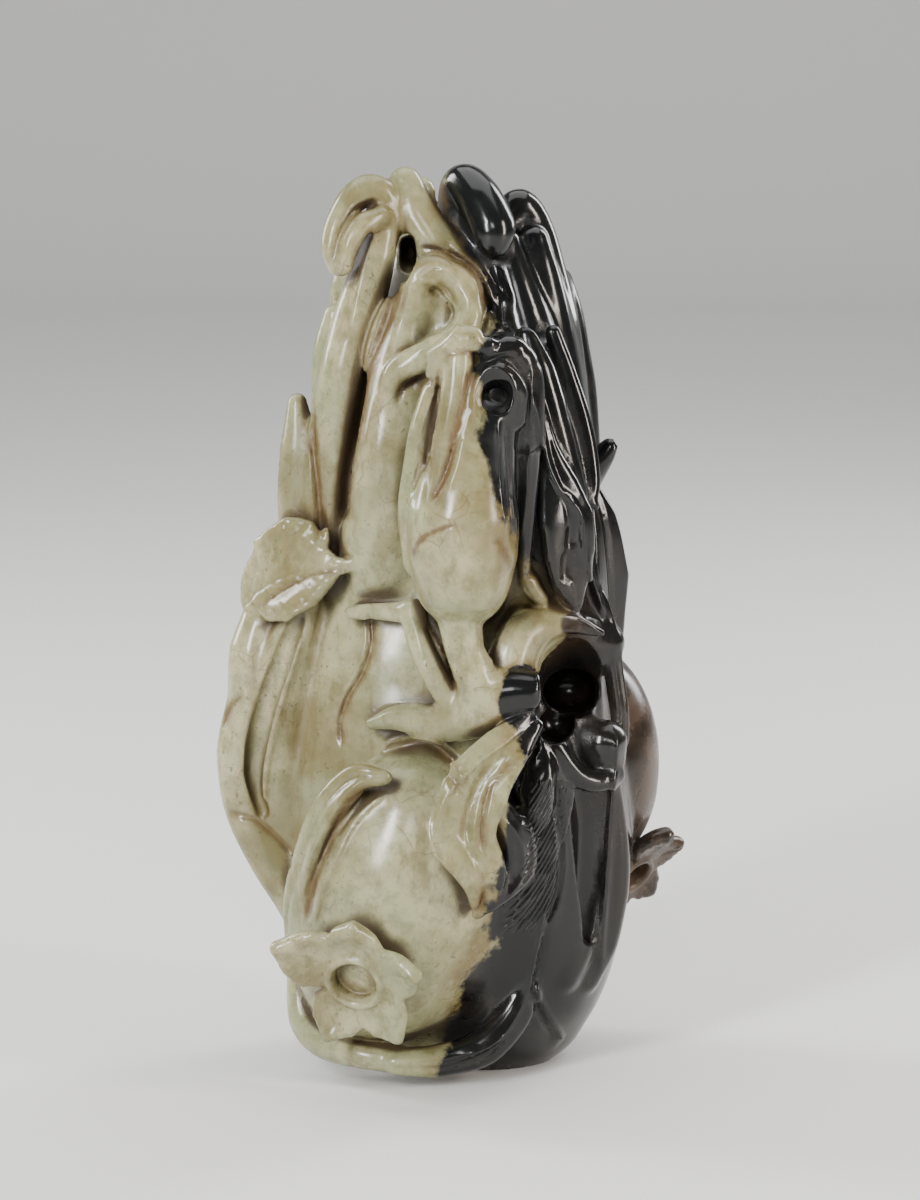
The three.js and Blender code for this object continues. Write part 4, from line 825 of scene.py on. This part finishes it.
def cut_hatch(thing):
    """Cuts the fine slanting lines of the ribbed leaf, on a mesh made finer there."""
    shape = bmesh.new()
    shape.from_mesh(thing.data)
    for _ in range(HATCH_ROUNDS):
        points = np.array([vertex.co for vertex in shape.verts]) / MM
        inside = hatch_share(points) > 0
        shape.verts.index_update()
        edges = [
            edge for edge in shape.edges
            if inside[edge.verts[0].index] and inside[edge.verts[1].index]
            and edge.calc_length() > HATCH_EDGE * MM
        ]
        bmesh.ops.subdivide_edges(shape, edges=edges, cuts=1)
        bmesh.ops.triangulate(shape, faces=[face for face in shape.faces if len(face.verts) > 3])
    points = np.array([vertex.co for vertex in shape.verts]) / MM
    share = hatch_share(points)
    across = points[:, 0] * HATCH_LEAN[0] + points[:, 2] * HATCH_LEAN[1] + HATCH_BEND * (points[:, 0] - 14) ** 2
    phase = across / HATCH_SPACING
    groove = np.exp(-(((phase - np.round(phase)) * HATCH_SPACING / HATCH_WIDTH) ** 2))
    for index in np.flatnonzero(share):
        shape.verts.ensure_lookup_table()
        shape.verts[index].co.y += HATCH_DEPTH * share[index] * groove[index] * MM
    shape.to_mesh(thing.data)
    shape.free()


def paint_values(stone, mesh):
    """Stores how hollow the stone is at each point, how deep its recesses lie for the painted shade there, its stains
    and how far it lies on the black side.
    """
    count = len(mesh.vertices)
    points, normals = np.zeros(count * 3, np.float32), np.zeros(count * 3, np.float32)
    mesh.vertices.foreach_get("co", points)
    mesh.vertex_normals.foreach_get("vector", normals)
    points, normals = points.reshape(-1, 3) / MM, normals.reshape(-1, 3)
    # deep finds the recesses that get painted shade in the material
    hollow, deep = [
        np.mean([np.clip(1 - stone.sample(points + normals * reach) / reach, 0, 1) for reach in reaches], axis=0)
        for reaches in (HOLLOW_REACHES, SHADE_REACHES)
    ]
    levels, edges = np.array(DARK_EDGE, float).T
    dark = points[:, 0] - np.interp(points[:, 2], levels, edges)
    for x, y, z, radius, shift in DARK_SPOTS:
        near = np.linalg.norm(points - (x, y, z), axis=1) / radius
        dark += shift * np.exp(-(near**4))
    russet = np.zeros(count)
    for x, y, z, radius, strength in RUSSET_SPOTS:
        near = np.linalg.norm(points - (x, y, z), axis=1) / radius
        russet = np.maximum(russet, strength * np.exp(-(near**2)))
    stain = np.zeros(count)
    front = (points[:, 1] < FRONT_SPAN[1]) & (normals[:, 1] < 0.3)
    for wide, _, strength, line in LINES.values():
        if strength:
            away, end = line_reach(points[front, 0], points[front, 2], line)
            found = strength * np.exp(-((away / (STAIN_SPREAD * wide)) ** 2)) * end
            stain[front] = np.maximum(stain[front], found)
    values = {"hollow": hollow, "deep": deep, "dark_side": dark, "russet": russet, "stain": stain}
    for name, numbers in values.items():
        layer = mesh.attributes.new(name, "FLOAT", "POINT")
        layer.data.foreach_set("value", numbers.astype(np.float32))


def build_carving(stone):
    points, faces = surface_net(stone)
    points = relax(stone, points, faces, 2)
    mesh = bpy.data.meshes.new("carving")
    mesh.from_pydata((points * MM).tolist(), [], faces.tolist())
    thing = bpy.data.objects.new("carving", mesh)
    bpy.context.scene.collection.objects.link(thing)
    thin_out(thing, MOST_TRIANGLES)
    cut_hatch(thing)
    thing.data.name = "carving"
    thing.data.polygons.foreach_set("use_smooth", [True] * len(thing.data.polygons))
    paint_values(stone, thing.data)
    return thing


class Nodes:
    """Short calls for a material's nodes."""

    def __init__(self, name):
        self.material = bpy.data.materials.new(name)
        self.material.use_nodes = True
        self.tree = self.material.node_tree
        self.tree.nodes.clear()

    def add(self, kind, settings=None, **inputs):
        made = self.tree.nodes.new("ShaderNode" + kind)
        for key, value in (settings or {}).items():
            setattr(made, key, value)
        for key, value in inputs.items():
            self.put(made.inputs[key.replace("_", " ")], value)
        return made

    def put(self, socket, value):
        if isinstance(value, bpy.types.NodeSocket):
            self.tree.links.new(value, socket)
        else:
            socket.default_value = value

    def math(self, operation, *values, clamp=False):
        made = self.add("Math", {"operation": operation, "use_clamp": clamp})
        for socket, value in zip(made.inputs, values):
            self.put(socket, value)
        return made.outputs[0]

    def range(self, value, low, high, to_low=0.0, to_high=1.0):
        made = self.add("MapRange", {"interpolation_type": "SMOOTHSTEP"}, Value=value)
        for name, number in (("From Min", low), ("From Max", high), ("To Min", to_low), ("To Max", to_high)):
            made.inputs[name].default_value = number
        return made.outputs[0]

    def noise(self, place, scale, detail=3.0, rough=0.55):
        return self.add("TexNoise", Vector=place, Scale=scale, Detail=detail, Roughness=rough).outputs["Fac"]

    def mix(self, share, first, second):
        made = self.add("Mix", {"data_type": "RGBA"})
        for socket, value in zip([made.inputs[0], made.inputs[6], made.inputs[7]], [share, first, second]):
            self.put(socket, value)
        return made.outputs[2]

    def value(self, name):
        return self.add("Attribute", {"attribute_name": name}).outputs["Fac"]


def jade():
    n = Nodes("jade")
    place = n.add("TexCoord").outputs["Object"]
    hollow, deep, russet, lines = [n.value(name) for name in ("hollow", "deep", "russet", "stain")]

    # Border between the grey-green and the black: wavering, frayed, with olive and brown along it
    broad = n.math("SUBTRACT", n.noise(place, 85, 2.0), 0.5)
    fine = n.math("SUBTRACT", n.noise(place, 380, 4.0, 0.65), 0.5)
    edge = n.math("ADD", n.value("dark_side"), n.math("MULTIPLY", broad, 9.0))
    edge = n.math("ADD", edge, n.math("MULTIPLY", fine, 5.0))
    dark = n.range(edge, -0.5, 1.1)
    fringe = n.range(edge, -5.5, 0.4)

    # Grey-green: pale clouds, olive patches, fine threads and flecks
    clouds = n.range(n.noise(place, 48, 4.0, 0.6), 0.36, 0.66)
    pale = n.mix(clouds, PALE_GREEN, PALE_CREAM)
    olive = n.range(n.noise(place, 34, 4.0, 0.62), 0.43, 0.66)
    pale = n.mix(n.math("MULTIPLY", olive, 0.7), pale, OLIVE)
    long_way = n.add("VectorMath", {"operation": "MULTIPLY"})
    n.put(long_way.inputs[0], place)
    long_way.inputs[1].default_value = (1.0, 1.0, 0.4)
    wisps = n.range(n.noise(long_way.outputs[0], 210, 5.0, 0.68), 0.48, 0.66)
    pale = n.mix(n.math("MULTIPLY", wisps, 0.55), pale, OLIVE)
    mottle = n.range(n.noise(place, 420, 4.0, 0.7), 0.42, 0.68)
    pale = n.mix(n.math("MULTIPLY", mottle, 0.42), pale, DEEP_GREEN)
    flecks = n.range(n.noise(place, 1100, 2.0), 0.64, 0.7)
    fleck_zone = n.range(n.noise(place, 60, 2.0), 0.42, 0.62)
    pale = n.mix(n.math("MULTIPLY", n.math("MULTIPLY", flecks, fleck_zone), 0.55), pale, FLECK)
    bend = n.add("TexNoise", Vector=place, Scale=120.0, Detail=3.0).outputs["Color"]
    bent = n.add("VectorMath", {"operation": "MULTIPLY_ADD"})
    n.put(bent.inputs[0], bend)
    bent.inputs[1].default_value = (0.006, 0.006, 0.006)
    n.put(bent.inputs[2], place)
    cracks = n.add("TexVoronoi", {"feature": "DISTANCE_TO_EDGE"}, Vector=bent.outputs[0], Scale=150.0)
    crack = n.range(cracks.outputs["Distance"], 0.0, 0.03, 1.0, 0.0)
    crack = n.math("MULTIPLY", crack, n.range(n.noise(place, 90, 3.0), 0.5, 0.64))
    pale = n.mix(n.math("MULTIPLY", crack, 0.45), pale, RUSSET)

    # Brown that has soaked in along the border and in the creases, and painted shade in dark brown in the deep places
    pale = n.mix(n.math("MULTIPLY", fringe, n.range(n.noise(place, 130, 4.0, 0.7), 0.4, 0.62, 0.1, 0.8)), pale, OLIVE)
    patchy = n.range(n.noise(place, 110, 4.0, 0.65), 0.28, 0.62, 0.25, 1.0)
    crease = n.math("MULTIPLY", n.range(hollow, 0.05, 0.38), patchy)
    pale = n.mix(n.math("MULTIPLY", crease, 0.85), pale, OLIVE)
    thread = n.math("MULTIPLY", lines, n.range(n.noise(place, 420, 4.0, 0.7), 0.3, 0.6, 0.35, 1.1), clamp=True)
    pale = n.mix(n.math("MULTIPLY", thread, 0.85), pale, RUSSET)
    pale = n.mix(n.math("MULTIPLY", n.range(russet, 0.1, 1.0), 0.6), pale, OLIVE)
    # Painted shade: the deep recesses darkened towards dark brown
    pale = n.mix(n.math("MULTIPLY", n.range(deep, 0.35, 0.9), 0.85), pale, PAINTED_SHADE_BROWN)

    # Black: grey clouds and the brown skin of the pebble
    smoke = n.range(n.noise(place, 75, 4.0, 0.62), 0.5, 0.74)
    black = n.mix(n.math("MULTIPLY", smoke, 0.45), BLACK, SMOKE)
    skin = n.math("MULTIPLY", russet, n.range(n.noise(place, 120, 4.0, 0.65), 0.34, 0.66, 0.25, 1.0), clamp=True)
    black = n.mix(skin, black, BROWN_SKIN)

    colour = n.mix(dark, pale, black)
    unpolished = n.math("MAXIMUM", n.math("MULTIPLY", crease, 0.2), n.range(deep, 0.5, 0.95, 0.0, 0.4))
    rough = n.math("ADD", n.range(dark, 0, 1, 0.19, 0.14), unpolished)
    rough = n.math("ADD", rough, n.math("MULTIPLY", skin, 0.22))
    rough = n.math("ADD", rough, n.range(n.noise(place, 260, 4.0, 0.65), 0.35, 0.8, 0.0, 0.1))
    grit = n.math("MULTIPLY", n.noise(place, 2600, 2.0), n.range(hollow, 0.08, 0.45, 0.06, 1.0))
    grain = n.add("Bump", Strength=0.35, Distance=0.0003, Height=grit)
    shader = n.add("BsdfPrincipled", Base_Color=colour, Roughness=rough, Normal=grain.outputs["Normal"])
    shader.inputs["IOR"].default_value = 1.5
    shader.inputs["Specular IOR Level"].default_value = 0.42
    shader.inputs["Subsurface Weight"].default_value = 0.15
    shader.inputs["Subsurface Radius"].default_value = (1.0, 1.0, 0.7)
    shader.inputs["Subsurface Scale"].default_value = 0.0018
    out = n.add("OutputMaterial")
    n.tree.links.new(shader.outputs[0], out.inputs["Surface"])
    return n.material


def plain(name, colour, roughness):
    n = Nodes(name)
    shader = n.add("BsdfPrincipled", Base_Color=(*colour, 1), Roughness=roughness)
    out = n.add("OutputMaterial")
    n.tree.links.new(shader.outputs[0], out.inputs["Surface"])
    return n.material


def make_floor():
    size, rise, bend = 1.6, 1.2, 0.25
    profile = [(-size, 0.0), (size - bend, 0.0)]
    for step in range(1, 9):
        turn = math.pi / 2 * step / 8
        profile.append((size - bend + bend * math.sin(turn), bend - bend * math.cos(turn)))
    profile.append((size, rise))
    points = [(side * size * 1.6, y, z) for y, z in profile for side in (-1, 1)]
    faces = [(2 * i, 2 * i + 1, 2 * i + 3, 2 * i + 2) for i in range(len(profile) - 1)]
    mesh = bpy.data.meshes.new("floor")
    mesh.from_pydata(points, [], faces)
    mesh.polygons.foreach_set("use_smooth", [True] * len(mesh.polygons))
    floor = bpy.data.objects.new("floor", mesh)
    bpy.context.scene.collection.objects.link(floor)
    mesh.materials.append(plain("floor", FLOOR_COLOUR, 0.6))


def make_light(name, place, aim, size, power, tint=(1, 1, 1)):
    lamp = bpy.data.lights.new(name, "AREA")
    lamp.shape = "RECTANGLE"
    lamp.size, lamp.size_y = size
    lamp.energy = power
    lamp.color = tint
    thing = bpy.data.objects.new(name, lamp)
    thing.location = place
    thing.rotation_euler = (Vector(aim) - Vector(place)).to_track_quat("-Z", "Y").to_euler()
    bpy.context.scene.collection.objects.link(thing)


def make_camera():
    target = Vector(AIM_POINT)
    tilt = math.radians(CAMERA_ELEVATION)
    camera = bpy.data.cameras.new("camera")
    camera.lens = CAMERA_LENS
    camera.sensor_width = 36.0
    camera.clip_start = 0.05
    thing = bpy.data.objects.new("camera", camera)
    thing.location = target + Vector((0, -math.cos(tilt), math.sin(tilt))) * CAMERA_DISTANCE
    thing.rotation_euler = (target - thing.location).to_track_quat("-Z", "Y").to_euler()
    bpy.context.scene.collection.objects.link(thing)
    bpy.context.scene.camera = thing


def make_world():
    world = bpy.data.worlds.new("studio")
    world.use_nodes = True
    backdrop = world.node_tree.nodes["Background"]
    backdrop.inputs["Color"].default_value = (*WORLD_COLOUR, 1)
    backdrop.inputs["Strength"].default_value = 1.0
    bpy.context.scene.world = world


carving = build_carving(carve())
carving.data.materials.append(jade())
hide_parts("finger_citron_carving")
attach(carving, "root")

make_floor()
make_world()
make_light("key", (-0.36, -0.6, 0.36), (0, 0, 0.08), (0.1, 0.42), 8.5)
make_light("front", (-0.02, -0.9, 0.5), (0, 0, 0.07), (0.2, 0.2), 1.6)
make_light("right", (0.55, -0.3, 0.26), (0, 0, 0.08), (0.1, 0.42), 4.5, WARM)
make_light("rim_right", (0.45, 0.4, 0.4), (0, 0, 0.09), (0.15, 0.5), 4)
make_light("rim_left", (-0.5, 0.25, 0.35), (0, 0, 0.09), (0.15, 0.4), 4)
make_light("ceiling", (0, 0.4, 1.5), (0, 0.5, 0), (1.6, 1.6), 22)
make_camera()
